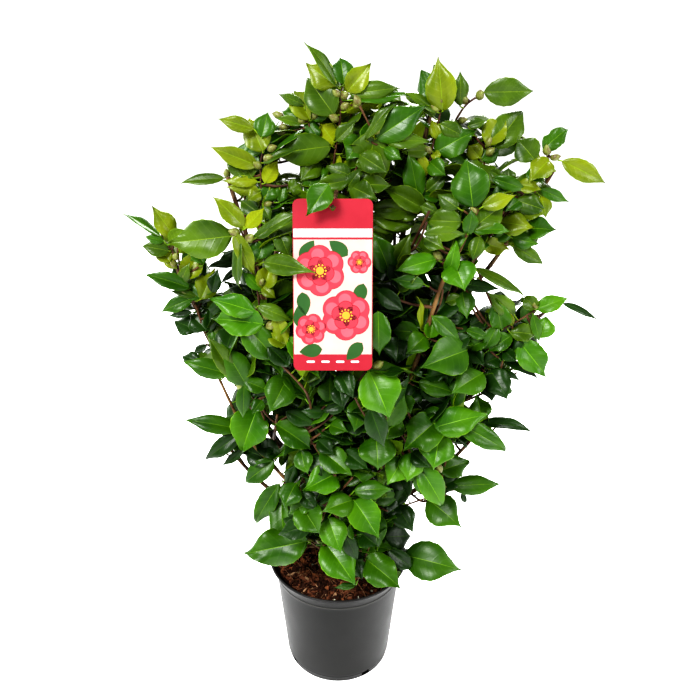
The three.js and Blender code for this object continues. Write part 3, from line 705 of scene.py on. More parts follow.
def bud_scale():
    s = Shader("bud_scale")
    patch = s.ramp(s.noise(210.0, 3.0), [(0.42, 0.0), (0.72, 1.0)])
    base = s.mix(patch, screen(106, 114, 48), screen(80, 64, 32))
    return s.finish(base, 0.45, s.bump(s.noise(600.0, 2.0), 0.3, 0.0005))


def pot_plastic():
    s = Shader("pot_plastic")
    dust = s.ramp(s.noise(9.0, 4.0), [(0.4, 0.0), (0.75, 1.0)])
    base = s.mix(dust * 0.5, screen(21, 21, 20), screen(29, 28, 27))
    grain = s.noise(1600.0, 2.0)
    rough = 0.40 + 0.12 * s.noise(30.0, 3.0)
    return s.finish(base, rough, s.bump(grain, 0.12, 0.0003), Specular_IOR_Level=0.20)


def rim_plastic():
    s = Shader("rim_plastic")
    base = s.mix(s.noise(40.0, 2.0), screen(28, 27, 27), screen(40, 39, 38))
    return s.finish(base, 0.38, s.bump(s.noise(900.0, 2.0), 0.15, 0.0003), Specular_IOR_Level=0.15)


# The bead's lighter grey is a painted highlight: the light line along the pot's collar.
def bead_highlight_plastic():
    s = Shader("bead_highlight_plastic")
    base = s.mix(s.noise(70.0, 3.0), screen(46, 46, 44), screen(66, 66, 62))
    return s.finish(base, 0.5, s.bump(s.noise(900.0, 2.0), 0.2, 0.0003), Specular_IOR_Level=0.2)


def chip(name, first, second):
    s = Shader(name)
    fibre = s.noise(500.0, 3.0, 0.6, stretch=(1.0, 0.35, 1.0))
    base = s.mix(s.ramp(fibre, [(0.38, 0.0), (0.66, 1.0)]), first, second)
    return s.finish(base, 0.86, s.bump(fibre, 0.7, 0.0008), Specular_IOR_Level=0.1)


def print_ink(name, base, shade):
    s = Shader(name)
    tone = s.mix(s.noise(60.0, 2.0), base, shade)
    return s.finish(tone, 0.32, s.bump(s.noise(900.0, 1.0), 0.05, 0.0002), Specular_IOR_Level=0.2)


# Deep and bright tones of each tint's face, under side, rib and margin.
LEAF_TONES = {
    "dark": [(13, 36, 2), (26, 56, 4), (42, 64, 3), (58, 82, 5),
             (44, 76, 10), (60, 92, 16), (36, 66, 6), (54, 86, 12)],
    "green": [(31, 65, 2), (53, 89, 4), (70, 96, 3), (88, 114, 5),
              (80, 114, 16), (98, 130, 24), (66, 104, 10), (86, 120, 18)],
    "fresh": [(42, 84, 3), (68, 109, 6), (84, 110, 5), (104, 127, 10),
              (92, 136, 20), (110, 150, 30), (84, 124, 12), (104, 140, 22)],
    "olive": [(37, 61, 4), (68, 92, 10), (80, 102, 8), (98, 118, 14),
              (90, 112, 18), (106, 126, 26), (84, 108, 14), (102, 124, 22)],
    "young": [(70, 87, 3), (106, 117, 7), (94, 108, 4), (120, 129, 12),
              (104, 132, 20), (122, 146, 30), (96, 124, 14), (116, 140, 24)],
}


def leaf_finishes(tint):
    """The finishes of a leaf's face, under side, rib and margin."""
    tones = iter([screen(*tone) for tone in LEAF_TONES[tint]])
    parts = {"face": leaf_face, "under": leaf_under, "rib": leaf_rib, "margin": leaf_rib}
    return [finish("leaf_%s_%s" % (tint, part), next(tones), next(tones)) for part, finish in parts.items()]


# ---- vectors, curves and meshes

def unit(v):
    v = np.asarray(v, float)
    return v / np.linalg.norm(v, axis=-1, keepdims=True)


def heading(bearing, rise):
    """A unit vector at a bearing from the front, towards +X, and a rise above the level, in radians."""
    level = math.cos(rise)
    return np.array([math.sin(bearing) * level, -math.cos(bearing) * level, math.sin(rise)])


def across(direction):
    """Two unit vectors at right angles to a direction and to each other."""
    helper = np.array([1.0, 0.0, 0.0]) if abs(direction[0]) < 0.8 else np.array([0.0, 1.0, 0.0])
    first = unit(np.cross(direction, helper))
    return first, np.cross(direction, first)


def spoke_at(axis, around):
    """A unit vector at right angles to an axis, at a turn round it."""
    first, second = across(axis)
    return first * math.cos(around) + second * math.sin(around)


class Path:
    """A line of points that is asked for by the share of its length."""

    def __init__(self, points):
        self.points = np.asarray(points, float)
        gaps = np.linalg.norm(np.diff(self.points, axis=0), axis=1)
        self.shares = np.concatenate([[0], np.cumsum(gaps)])
        self.length = self.shares[-1]
        self.shares /= self.length

    def at(self, share):
        return np.stack([np.interp(share, self.shares, self.points[:, k]) for k in range(3)], axis=-1)

    def heading(self, share):
        low, high = max(0.0, share - 0.02), min(1.0, share + 0.02)
        return unit(self.at(high) - self.at(low))


def cubic(start, first, second, end, steps=120):
    """A cubic curve between two ends, drawn towards two points."""
    t = np.linspace(0, 1, steps)[:, None]
    a, b, c, d = (np.asarray(p, float) for p in (start, first, second, end))
    return Path((1 - t) ** 3 * a + 3 * (1 - t) ** 2 * t * b + 3 * (1 - t) * t * t * c + t ** 3 * d)


def through(points):
    """A smooth line near points, made by cutting its corners a few times."""
    points = np.asarray(points, float)
    for _ in range(CORNER_CUTS):
        cut = np.empty((2 * len(points) - 2, 3))
        cut[0::2] = points[:-1] * 0.75 + points[1:] * 0.25
        cut[1::2] = points[:-1] * 0.25 + points[1:] * 0.75
        points = np.vstack([points[:1], cut, points[-1:]])
    return Path(points)


def bough_path(start, end, bow):
    """A bough leaves its carrier, spreads while it is low and then turns up to its end."""
    start, end = np.asarray(start, float), np.asarray(end, float)
    level = (end - start) * (1, 1, 0)
    rise = (end - start) * (0, 0, 1)
    first = start + level * (0.2 + bow * 0.3) + rise * 0.3
    second = start + level * (0.45 + bow * 0.55) + rise * 0.62
    return cubic(start, first, second, end)


class Piece:
    """Vertices and faces gathered into one mesh with several finishes."""

    def __init__(self):
        self.vertices = []
        self.faces = []
        self.finishes = []
        self.spots = []
        self.count = 0

    def add(self, vertices, *groups, finish=0):
        """Adds vertices and the groups of faces between them; one finish, or one for each face."""
        vertices = np.asarray(vertices, float).reshape(-1, 3)
        for faces in groups:
            self.faces.extend((np.asarray(faces) + self.count).tolist())
        self.finishes.append(np.broadcast_to(finish, sum(len(faces) for faces in groups)))
        self.vertices.append(vertices)
        self.count += len(vertices)

    def build(self, name, materials, replaces=(), smooth=True):
        mesh = bpy.data.meshes.new(name)
        mesh.from_pydata(np.concatenate(self.vertices).tolist(), [], self.faces)
        for material in materials:
            mesh.materials.append(material)
        mesh.polygons.foreach_set("material_index", np.concatenate(self.finishes).astype(np.int32))
        mesh.polygons.foreach_set("use_smooth", np.full(len(mesh.polygons), smooth))
        if self.spots:
            corners = np.empty(len(mesh.loops), np.int32)
            mesh.loops.foreach_get("vertex_index", corners)
            spots = np.concatenate(self.spots).astype(np.float32)[corners]
            mesh.uv_layers.new(name="blade").uv.foreach_set("vector", spots.ravel())
        mesh.update()
        piece = bpy.data.objects.new(name, mesh)
        bpy.context.scene.collection.objects.link(piece)
        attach(piece, "root")
        if replaces:
            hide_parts(*replaces)
        return piece


def turns(sides):
    """The angles of the corners of a ring."""
    return np.arange(sides) / sides * 2 * math.pi


def band(low, high, sides):
    """Faces between two rings, given by the number of each one's first corner."""
    ring, after = np.arange(sides), np.roll(np.arange(sides), -1)
    return np.stack([low + ring, low + after, high + after, high + ring], axis=1)


def shell(count, sides):
    """Faces of a closed round shell of rings, and of the fans to the foot and top points after them."""
    ring, after = np.arange(sides), np.roll(np.arange(sides), -1)
    walls = [band(k * sides, (k + 1) * sides, sides) for k in range(count - 1)]
    foot = count * sides
    last = foot - sides
    start_cap = np.stack([np.full(sides, foot), after, ring], axis=1)
    end_cap = np.stack([np.full(sides, foot + 1), last + ring, last + after], axis=1)
    return np.concatenate(walls), np.concatenate([start_cap, end_cap])


def add_tube(piece, points, radii, sides, finish=0):
    """A closed round tube through points, with its own radius at each; radii may vary round it."""
    points = np.asarray(points, float)
    count = len(points)
    tangents = unit(np.gradient(points, axis=0))
    normal, _ = across(tangents[0])
    rings = []
    angles = turns(sides)
    radii = np.asarray(radii, float).reshape(count, -1)
    for k in range(count):
        normal = unit(normal - tangents[k] * (normal @ tangents[k]))
        side = np.cross(tangents[k], normal)
        spokes = np.cos(angles)[:, None] * normal + np.sin(angles)[:, None] * side
        rings.append(points[k] + spokes * np.broadcast_to(radii[k], sides)[:, None])
    vertices = np.concatenate(rings + [points[:1], points[-1:]])
    piece.add(vertices, *shell(count, sides), finish=finish)


def revolve(profile, sides):
    """A closed solid turned about +Z from [radius, height] pairs that start and end on the axis."""
    angles = turns(sides)
    rings = [np.stack([r * np.cos(angles), r * np.sin(angles), np.full(sides, z)], axis=1)
             for r, z in profile[1:-1]]
    ends = np.array([[0, 0, profile[0][1]], [0, 0, profile[-1][1]]])
    return np.concatenate(rings + [ends]), *shell(len(rings), sides)


# ---- pot

def wall_radius(height):
    return POT_FOOT + (POT_WALL_TOP - POT_FOOT) * height / POT_HEIGHT


def rounded(centre, radius, start, end, steps=5):
    """Points of a round edge of a profile, between two angles in degrees."""
    angles = np.radians(np.linspace(start, end, steps))
    return [(centre[0] + radius * math.cos(a), centre[1] + radius * math.sin(a)) for a in angles]


def make_pot():
    """The pot in one solid: outside from the foot up, bead, collar, lip and inside down again."""
    line = wall_radius(COLLAR_BOTTOM)
    ridge = wall_radius(FOOT_BAND)
    flare_foot = COLLAR_BOTTOM + FLARE_RISE
    lip = POT_HEIGHT - LIP_DROP
    below = [
        (0, 0.0), (POT_FOOT - 0.004, 0.0),
        *rounded((POT_FOOT - 0.0031, FOOT_ROUND), FOOT_ROUND, -90, 0),
        (ridge - 0.0009, FOOT_BAND - 0.0006),
        *rounded((ridge - RIDGE_ROUND, FOOT_BAND + 0.0002), RIDGE_ROUND, -60, 60, 4),
        *[(wall_radius(z), z) for z in (0.0112, 0.0145, 0.05, 0.1)],
        *[(wall_radius(z), z) for z in (COLLAR_BOTTOM - 0.005, COLLAR_BOTTOM - 0.0013)],
    ]
    bead = rounded((line - 0.0002, COLLAR_BOTTOM), BEAD_ROUND, -65, 65)
    above = [
        (wall_radius(COLLAR_BOTTOM + 0.0013), COLLAR_BOTTOM + 0.0013), (wall_radius(flare_foot), flare_foot),
        (POT_RIM - 0.0062, lip - 0.0070), (POT_RIM - 0.0026, lip - 0.0006), (POT_RIM - 0.0018, lip - 0.0001),
    ]
    outside = below + bead + above
    edge = rounded((POT_RIM - LIP_ROUND, POT_HEIGHT - LIP_ROUND), LIP_ROUND, -70, 170, 12)
    inside = [
        (POT_RIM - 0.0036, POT_HEIGHT - 0.0050), (wall_radius(0.150) - POT_WALL, 0.150),
        (wall_radius(0.14) - POT_WALL, 0.14), (wall_radius(0.003) - POT_WALL, 0.003), (0, 0.003),
    ]
    profile = outside + edge + inside
    vertices, walls, caps = revolve(profile, POT_SIDES)
    stretches = np.repeat(np.arange(len(profile) - 3), POT_SIDES)
    # The bead takes the lighter finish, a painted highlight line along the collar.
    on_bead = (stretches >= len(below) - 1) & (stretches <= len(below) + len(bead) - 3)
    finishes = np.where(stretches >= len(outside) - 2, 1, np.where(on_bead, 2, 0))
    pot = Piece()
    pot.add(vertices, walls, caps, finish=np.append(finishes, np.zeros(len(caps))))
    piece = pot.build("pot_shell", [pot_plastic(), rim_plastic(), bead_highlight_plastic()], ["pot"])
    for bearing in NOTCH_BEARINGS:
        cut_notch(piece, math.radians(bearing))
    return piece


def cut_notch(piece, bearing):
    """Cuts one drainage notch through the foot of the pot."""
    cutter = bpy.data.meshes.new("notch")
    corners = np.array([(x, y, z) for x in (-1, 1) for y in (-1, 1) for z in (-1, 1)])
    corners = corners * np.array(NOTCH_SIZE) / 2
    corners += (0, -POT_FOOT, NOTCH_RISE)
    turned = corners.copy()
    turned[:, 0] = corners[:, 0] * math.cos(bearing) - corners[:, 1] * math.sin(bearing)
    turned[:, 1] = corners[:, 0] * math.sin(bearing) + corners[:, 1] * math.cos(bearing)
    quads = [(0, 1, 3, 2), (4, 6, 7, 5), (0, 4, 5, 1), (2, 3, 7, 6), (0, 2, 6, 4), (1, 5, 7, 3)]
    cutter.from_pydata(turned.tolist(), [], quads)
    block = bpy.data.objects.new("notch", cutter)
    bpy.context.scene.collection.objects.link(block)
    apply_modifier(piece, "BOOLEAN", operation="DIFFERENCE", object=block, solver="EXACT")
    bpy.data.objects.remove(block)


def apply_modifier(piece, kind, **settings):
    """Adds a modifier and keeps its result as the piece's mesh."""
    modifier = piece.modifiers.new(kind.lower(), kind)
    for key, value in settings.items():
        setattr(modifier, key, value)
    graph = bpy.context.evaluated_depsgraph_get()
    mesh = bpy.data.meshes.new_from_object(piece.evaluated_get(graph))
    piece.modifiers.clear()
    piece.data = mesh


# ---- potting bark

CHIP_KINDS = {
    "bark_chips_red": (850, (0.0088, 0.0034, 0.0017), screen(70, 39, 25), screen(108, 68, 46)),
    "bark_chips_orange": (150, (0.0082, 0.0034, 0.0016), screen(104, 60, 36), screen(142, 92, 60)),
    "bark_chips_dark": (850, (0.0078, 0.0036, 0.0019), screen(32, 17, 11), screen(62, 36, 24)),
    "bark_chips_tan": (150, (0.0090, 0.0024, 0.0011), screen(122, 92, 68), screen(156, 126, 98)),
    "bark_fibres": (220, (0.0190, 0.0009, 0.0007), screen(98, 66, 46), screen(138, 104, 78)),
    "bark_grit": (40, (0.0026, 0.0023, 0.0020), screen(150, 148, 132), screen(178, 176, 160)),
}


def bark_height(x, y):
    """The lumpy surface of the potting bark."""
    lumps = 0.0016 * np.sin(x * 160 + 1.0) * np.cos(y * 140) + 0.0012 * np.sin(x * 310 - y * 270)
    return BARK_LEVEL + 0.003 * (1 - (x * x + y * y) / BARK_RADIUS ** 2) + lumps


def chip_blocks(count, size):
    """Rough slivers of bark, scattered at seeded places and mostly lying down."""
    reach = BARK_RADIUS - size[0] * 0.35
    radius = reach * np.sqrt(rng.random(count))
    bearing = rng.random(count) * 2 * math.pi
    x, y = radius * np.cos(bearing), radius * np.sin(bearing)
    centre = np.stack([x, y, bark_height(x, y) + rng.normal(0.0012, 0.0014, count)], axis=1)
    turn = rng.random(count) * 2 * math.pi
    tip = rng.normal(0, 0.32, count)
    along = np.stack([np.cos(turn) * np.cos(tip), np.sin(turn) * np.cos(tip), np.sin(tip)], axis=1)
    side = unit(np.cross(along, UP) + rng.normal(0, 0.35, (count, 3)))
    side = unit(side - along * np.sum(side * along, axis=1, keepdims=True))
    above = np.cross(side, along)
    scale = np.exp(rng.normal(0, 0.35, (count, 3))) * np.array(size) / 2
    shape = np.array([(a, b, c) for a in (-1, -0.3, 0.4, 1) for b in (-1, 1) for c in (-1, 1)], float)
    shape[:, 1:] *= (1 - 0.45 * np.abs(shape[:, :1]) ** 3)
    shape = shape + rng.normal(0, 0.12, (count, *shape.shape))
    local = shape * scale[:, None, :]
    places = (centre[:, None] + local[..., :1] * along[:, None] + local[..., 1:2] * side[:, None]
              + local[..., 2:] * above[:, None])
    away = np.linalg.norm(places[..., :2], axis=-1, keepdims=True)
    places[..., :2] *= np.minimum(1.0, (BARK_RADIUS - 0.0003) / away)
    section = [0, 1, 3, 2]
    quads = [(section[3], section[2], section[1], section[0])]
    for k in range(3):
        for m in range(4):
            a, b = section[m], section[(m + 1) % 4]
            quads.append((4 * k + a, 4 * k + b, 4 * k + 4 + b, 4 * k + 4 + a))
    quads.append(tuple(12 + s for s in section))
    faces = np.asarray(quads)[None] + (np.arange(count) * 16)[:, None, None]
    return places.reshape(-1, 3), faces.reshape(-1, 4)


def make_bark():
    sides = BARK_SIDES
    angles = turns(sides)
    rings = []
    for k in range(1, BARK_RINGS + 1):
        radius = BARK_RADIUS * k / BARK_RINGS
        x, y = radius * np.cos(angles), radius * np.sin(angles)
        rings.append(np.stack([x, y, bark_height(x, y)], axis=1))
    low = rings[-1].copy()
    low[:, 2] = BARK_LEVEL - BARK_DEPTH
    ends = [[0, 0, bark_height(0.0, 0.0)], [0, 0, BARK_LEVEL - BARK_DEPTH]]
    ring, after = np.arange(sides), np.roll(np.arange(sides), -1)
    quads = [np.stack([k + ring, k + sides + ring, k + sides + after, k + after], axis=1)
             for k in np.arange(BARK_RINGS) * sides]
    foot = BARK_RINGS * sides
    top_fan = np.stack([np.full(sides, foot + sides), ring, after], axis=1)
    foot_fan = np.stack([np.full(sides, foot + sides + 1), foot + after, foot + ring], axis=1)
    bed = Piece()
    bed.add(np.concatenate([*rings, low, ends]), np.concatenate(quads), top_fan, foot_fan)
    bed.build("bark_bed", [chip("bark_bed", screen(30, 15, 9), screen(56, 30, 18))],
              ["potting_bark"])
    for name, (count, size, first, second) in CHIP_KINDS.items():
        heap = Piece()
        heap.add(*chip_blocks(count, size))
        heap.build(name, [chip(name, first, second)], smooth=False)


# ---- stems

def grow_limbs():
    """The path of every limb, and the radii at its foot and tip."""
    pull = 0.02
    top = (STEM_LEAN, 0, STEM_TOP)
    stem = cubic((0, 0, STEM_FOOT), (0, 0, STEM_FOOT + pull), (STEM_LEAN, 0, STEM_TOP - pull), top)
    limbs = {"main_stem": (stem, STEM_RADIUS, STEM_RADIUS * 0.85)}
    for name, (carrier, share, end, foot, tip, bow) in LIMBS.items():
        start = limbs[carrier][0].at(share)
        limbs[name] = (bough_path(start, end, bow), foot, tip)
    carrier, share, foot, tip, past = TAG_SHOOT
    start = limbs[carrier][0].at(share)
    normal = heading(0, TAG_TILT)
    hole = TAG_CENTRE + heading(math.pi, math.pi / 2 - TAG_TILT) * (TAG_LENGTH / 2 - TAG_HOLE_INSET)
    path = cubic(start, start + (hole - start) * 0.3, hole - normal * 0.04, hole + normal * past)
    limbs["tag_shoot"] = (path, foot, tip)
    return limbs


def bark_radii(path, foot, tip, flare, sides):
    """Radii down a limb and round it, with ridges, leaf scars and a swelling where it starts."""
    steps = max(10, int(path.length / 0.006))
    shares = np.linspace(0, 1, steps)
    angles = turns(sides)
    radii = (foot + (tip - foot) * shares)[:, None] * np.ones(sides)
    radii += (flare * (1 - shares) ** 5)[:, None] * (1 + 0.25 * np.cos(5 * angles + 1.0))
    ridges = np.sin(3 * angles[None] + 14 * shares[:, None]) + np.sin(7 * angles[None] - 23 * shares[:, None])
    radii *= 1 + RIDGE_RELIEF * ridges + rng.normal(0, BARK_RELIEF, radii.shape)
    scars = np.abs(((shares * path.length / SCAR_GAP) % 1) - 0.5) < 0.11
    radii *= 1 + SCAR_RELIEF * scars[:, None] * (0.6 + 0.4 * np.cos(angles[None] + 40 * shares[:, None]))
    return path.at(shares), radii


def make_stems(limbs):
    """The stem and each limb, in the place of its node, with bark relief."""
    bark = stem_bark()
    for name, (path, foot, tip) in limbs.items():
        is_stem = name == "main_stem"
        flare = STEM_FLARE if is_stem else foot * LIMB_FLARE
        sides = STEM_SIDES if is_stem else LIMB_SIDES
        points, radii = bark_radii(path, foot, tip, flare, sides)
        piece = Piece()
        add_tube(piece, points, radii, sides)
        piece.build(name + "_bark", [bark], [name])


# ---- view and crown

PITCH = math.radians(CAMERA_PITCH)
VIEW_FORWARD = np.array([0.0, math.cos(PITCH), -math.sin(PITCH)])
VIEW_UP = np.array([0.0, math.sin(PITCH), math.cos(PITCH)])
VIEW_FOCUS = CAMERA_LENS / SENSOR_WIDTH * VIEW_SIZE
VIEW_MIDDLE = (VIEW_SIZE * (0.5 - CAMERA_SHIFT), VIEW_SIZE * 0.5)
EYE = np.array(CAMERA_PLACE)


def at_view(across_view, down_view, depth):
    """The point at a place of the view and at a depth along Y."""
    ray = VIEW_FORWARD + VIEW_UP * (VIEW_MIDDLE[1] - down_view) / VIEW_FOCUS
    ray = ray + np.array([(across_view - VIEW_MIDDLE[0]) / VIEW_FOCUS, 0, 0])
    return EYE + ray * (depth - EYE[1]) / ray[1]


def in_view(points):
    """The places of points in the view."""
    offset = np.asarray(points, float) - EYE
    far = offset @ VIEW_FORWARD
    return np.stack([VIEW_MIDDLE[0] + VIEW_FOCUS * offset[..., 0] / far,
                     VIEW_MIDDLE[1] - VIEW_FOCUS * (offset @ VIEW_UP) / far], axis=-1)


def view_scale(point):
    """How many steps of the view one metre is at a point."""
    return VIEW_FOCUS / float((point - EYE) @ VIEW_FORWARD)


def cells_at(points, step):
    """The rows and the columns of the cells where points show, in a grid of the view."""
    cells = np.clip((in_view(points) / step).astype(int), 0, VIEW_SIZE // step - 1)
    return cells[:, 1], cells[:, 0]


def within(spots, outline):
    """True for each spot that lies inside an outline."""
    x, y = spots[..., 0], spots[..., 1]
    inside = np.zeros(x.shape, bool)
    for (ax, ay), (bx, by) in zip(outline, np.roll(outline, -1, axis=0)):
        crosses = (ay > y) != (by > y)
        inside ^= crosses & (x < (bx - ax) * (y - ay) / (by - ay + 1e-9) + ax)
    return inside


def crown_mask():
    """The cells of the view where leaves behind the crown's face may show."""
    middles = (np.arange(VIEW_SIZE // MASK_STEP) + 0.5) * MASK_STEP
    spots = np.stack(np.meshgrid(middles, middles), axis=-1)
    inside = within(spots, CROWN_OUTLINE)
    for x, y, radius in OPENINGS:
        inside &= np.hypot(spots[..., 0] - x, spots[..., 1] - y) > radius
    mask = inside.copy()
    for axis in (0, 1):
        for shift in (-1, 1):
            mask &= np.roll(inside, shift, axis)
    return mask


# ---- shoots and leaves

class Foliage:
    """Leaves, twigs and buds gathered while the shoots grow."""

    def __init__(self):
        self.leaves = {tint: [] for tint in LEAF_TONES}
        self.twigs = []
        self.face_twigs = []
        self.buds = []
        self.nearest = np.full((VIEW_SIZE // COVER_STEP, VIEW_SIZE // COVER_STEP), np.inf)
        self.mask = crown_mask()

    def cover(self, base, tip, edge):
        """Notes how near the camera the crown's face is where one of its leaves stands."""
        along, beside = np.meshgrid(np.linspace(0.04, 0.96, 20), np.linspace(-0.9, 0.9, 11))
        room = np.sin(math.pi * along ** 0.8)
        points = base + (tip - base) * along[..., None] + edge * (beside * room)[..., None]
        points = points.reshape(-1, 3)
        far = np.linalg.norm(points - EYE, axis=1)
        np.minimum.at(self.nearest, cells_at(points, COVER_STEP), far)

    def face_at(self, points):
        """How far the crown's face is from the camera where points show, and how far the points are."""
        return self.nearest[cells_at(points, COVER_STEP)], np.linalg.norm(points - EYE, axis=1)

    def hides(self, points):
        """The share of the points that stand in front of the crown's face."""
        face, far = self.face_at(points)
        return float(np.mean(np.isfinite(face) & (far < face - FACE_ROOM)))

    def stray(self, points):
        """True if a point shows outside the crown's outline or in one of its openings."""
        face, far = self.face_at(points)
        return bool(np.any(~self.mask[cells_at(points, MASK_STEP)] & (far < face)))

    def leaf(self, tint, root, base, tip, face, half, bend=None):
        if bend is None:
            bend = rng.normal(*LEAF_BEND)
        self.leaves[tint].append((root, base, tip, face, half, bend))


def fibonacci(count, turn):
    """Directions spread evenly over a ball."""
    k = np.arange(count) + 0.5
    z = 1 - 2 * k / count
    around = k * GOLDEN_TURN + turn
    level = np.sqrt(1 - z * z)
    return np.stack([level * np.cos(around), level * np.sin(around), z], axis=1)


def square_to(direction, vector):
    """The part of a vector at right angles to a direction, as a unit vector."""
    return unit(vector - direction * (vector @ direction))


def sheen_tint(tint, tip):
    """A leaf's tint: the higher its tip, the more often a dark or green one is painted olive, a painted sheen
    of the light on the crown's top.
    """
    chance = (tip[2] - OLIVE_FROM) / OLIVE_SPAN
    if tint not in ("dark", "green"):
        return tint
    if rng.random() < min(OLIVE_MOST, chance):
        return "olive"
    return "green" if chance > GREEN_FROM else tint


# ---- sprays of the crown's face

def nearest(paths, spot, depth):
    """The point of the nearest path, seen in the view and in depth."""
    best, found = 1e9, None
    for path in paths:
        gap = np.linalg.norm(in_view(path.points) - spot, axis=1)
        gap = gap + DEPTH_WEIGHT * np.abs(path.points[:, 1] - depth)
        k = int(np.argmin(gap))
        if gap[k] < best:
            best, found = gap[k], path.points[k]
    return found


def nearest_on(path, spot):
    """The point of one path that is nearest in the view."""
    return path.points[int(np.argmin(np.linalg.norm(in_view(path.points) - spot, axis=1)))]


def grow_spray(foliage, limbs, name):
    """One spray of the crown's face: its twig from the nearest limb, its leaves and its buds."""
    depth, route, leaves, buds = SPRAYS[name]
    below = DEPTH_WEIGHT * abs(depth)
    root = nearest([path for path, _, _ in limbs.values()], np.array(route[0]) + (0, below), depth)
    first = at_view(*route[0], depth)
    lead = np.linalg.norm(first - root)
    points = [root] if lead > 0.008 else []
    points += [at_view(*spot, depth) for spot in route]
    path = through(points)
    foot = STOUT_ROUTES.get(name, TWIG_FOOT + FACE_TWIG_GROWTH * path.length)
    foliage.twigs.append((path, foot, STOUT_TIP if foot > STOUT else TWIG_TIP))
    foliage.face_twigs.append(path)
    for row in leaves:
        lay_leaf(foliage, path, depth, *row)
    for spot in buds:
        lay_bud(foliage, path, np.array(spot))


def lay_leaf(foliage, path, depth, base_x, base_y, tip_x, tip_y, breadth, tint, side=FACE, forward=None):
    """One leaf between two places of the view, turned until it shows the given breadth."""
    carrier = nearest_on(path, np.array([base_x, base_y]))
    near = min(carrier[1] - 0.004, depth + 0.02)
    base = at_view(base_x, base_y, near)
    scale = view_scale(base)
    shown = math.hypot(tip_x - base_x, tip_y - base_y) / scale
    wide = breadth / scale
    whole = wide / LEAF_BREADTH
    if forward is None:
        forward = math.sqrt(max(0.0, whole ** 2 - shown ** 2)) * (1 if tip_y > base_y else -1)
        most = min(LEAN_MOST, 0.6 * shown)
        forward = float(np.clip(forward, -most * 0.8, most))
    tip = at_view(tip_x, tip_y, max(near - forward, FOREMOST))
    along = unit(tip - base)
    half = min(max(wide / 2, SLIM_SHARE * shown), WIDEST_HALF)
    roll = math.acos(min(1.0, wide / (2 * half)))
    look = square_to(along, EYE - base)
    edge = np.cross(along, look)
    outward = np.array([0.5 * np.sign(base[0]), 0.0, 1.0])
    if edge @ outward < 0:
        edge = -edge
    tilt = roll + rng.normal(0.10, 0.08)
    face = unit(look * math.cos(tilt) * side + edge * math.sin(tilt))
    gap = np.linalg.norm(base - carrier)
    root = carrier
    if gap > TWIG_GAP:
        root = base + (carrier - base) / gap * 0.007
        side_twig = through([carrier, (carrier + root) / 2 - UP * 0.08 * gap, root])
        foliage.twigs.append((side_twig, SIDE_TWIG_FOOT + SIDE_TWIG_GROWTH * gap, TWIG_TIP))
        foliage.face_twigs.append(side_twig)
    tint = sheen_tint(tint, tip)
    bend = rng.normal(0.6, 0.2) * (0.35 + 0.65 * math.cos(roll))
    foliage.leaf(tint, root, base, tip, face, half * WIDTH_EASE, bend)
    foliage.cover(base, tip, np.cross(along, face) * half)


def lay_bud(foliage, path, spot):
    """A bud at a place of the view, on the nearest part of its twig."""
    carrier = nearest_on(path, spot)
    centre = at_view(*spot, carrier[1] - 0.003)
    gap = np.linalg.norm(centre - carrier)
    direction = unit(centre - carrier + UP * 0.004 + np.array([0, -0.001, 0.0]))
    root = centre - direction * BUD_LENGTH * 0.5
    if gap > 0.010:
        stalk = through([carrier, (carrier + root) / 2, root])
        foliage.twigs.append((stalk, SIDE_TWIG_FOOT, TWIG_TIP))
    foliage.buds.append((root, direction, rng.uniform(0.92, 1.12)))


# ---- sprays behind the face

def hides_tag(points):
    """True if any point stands before the hang tag or passes through it."""
    offset = points - TAG_CENTRE
    along = offset @ heading(math.pi, math.pi / 2 - TAG_TILT)
    front = offset @ heading(0, TAG_TILT)
    beside = (np.abs(offset[:, 0]) < TAG_WIDTH / 2 + TAG_ROOM) & (np.abs(along) < TAG_LENGTH / 2 + TAG_ROOM)
    return bool(np.any(beside & (front > -TAG_ROOM)))


def blocked(foliage, base, tip, edge):
    """True where a leaf would leave the crown's box or outline, close an opening, cover the crown's
    face or the tag, or pass through the pot."""
    stations = [base + (tip - base) * share + edge * side for share in (0.15, 0.4, 0.65, 0.85)
                for side in (-0.85, 0.0, 0.85)]
    blade = np.array([base, *stations, tip])
    over_pot = np.hypot(blade[:, 0], blade[:, 1]) < POT_RIM + RIM_ROOM[0]
    floor = np.where(over_pot, POT_HEIGHT + RIM_ROOM[1], LEAF_FLOOR)
    if np.any(blade[:, 2] < floor) or np.any(blade > np.array(cad_high) + BOX_ROOM):
        return True
    if np.any(blade[:, :2] < np.array(cad_low)[:2] - BOX_ROOM):
        return True
    if foliage.hides(blade) > 0.1 or foliage.stray(blade):
        return True
    return hides_tag(blade)


def place_leaf(foliage, tint, root, axis, spoke, lean, droop, size, outward):
    """One leaf from its twig: it leaves at an angle, then turns its face to the light."""
    direction = unit(axis * math.cos(lean) + spoke * math.sin(lean) + outward * 0.3 - UP * droop)
    face = square_to(direction, UP * 0.8 + outward * 0.6 + axis * 0.3 + rng.normal(0, 0.3, 3))
    base = root + unit(spoke + direction) * PETIOLE_LENGTH
    tip = base + direction * size
    half = size * rng.normal(*HALF_SHARE)
    tint = sheen_tint(tint, tip)
    if blocked(foliage, base, tip, np.cross(direction, face) * half):
        return False
    foliage.leaf(tint, root, base, tip, face, half)
    return True


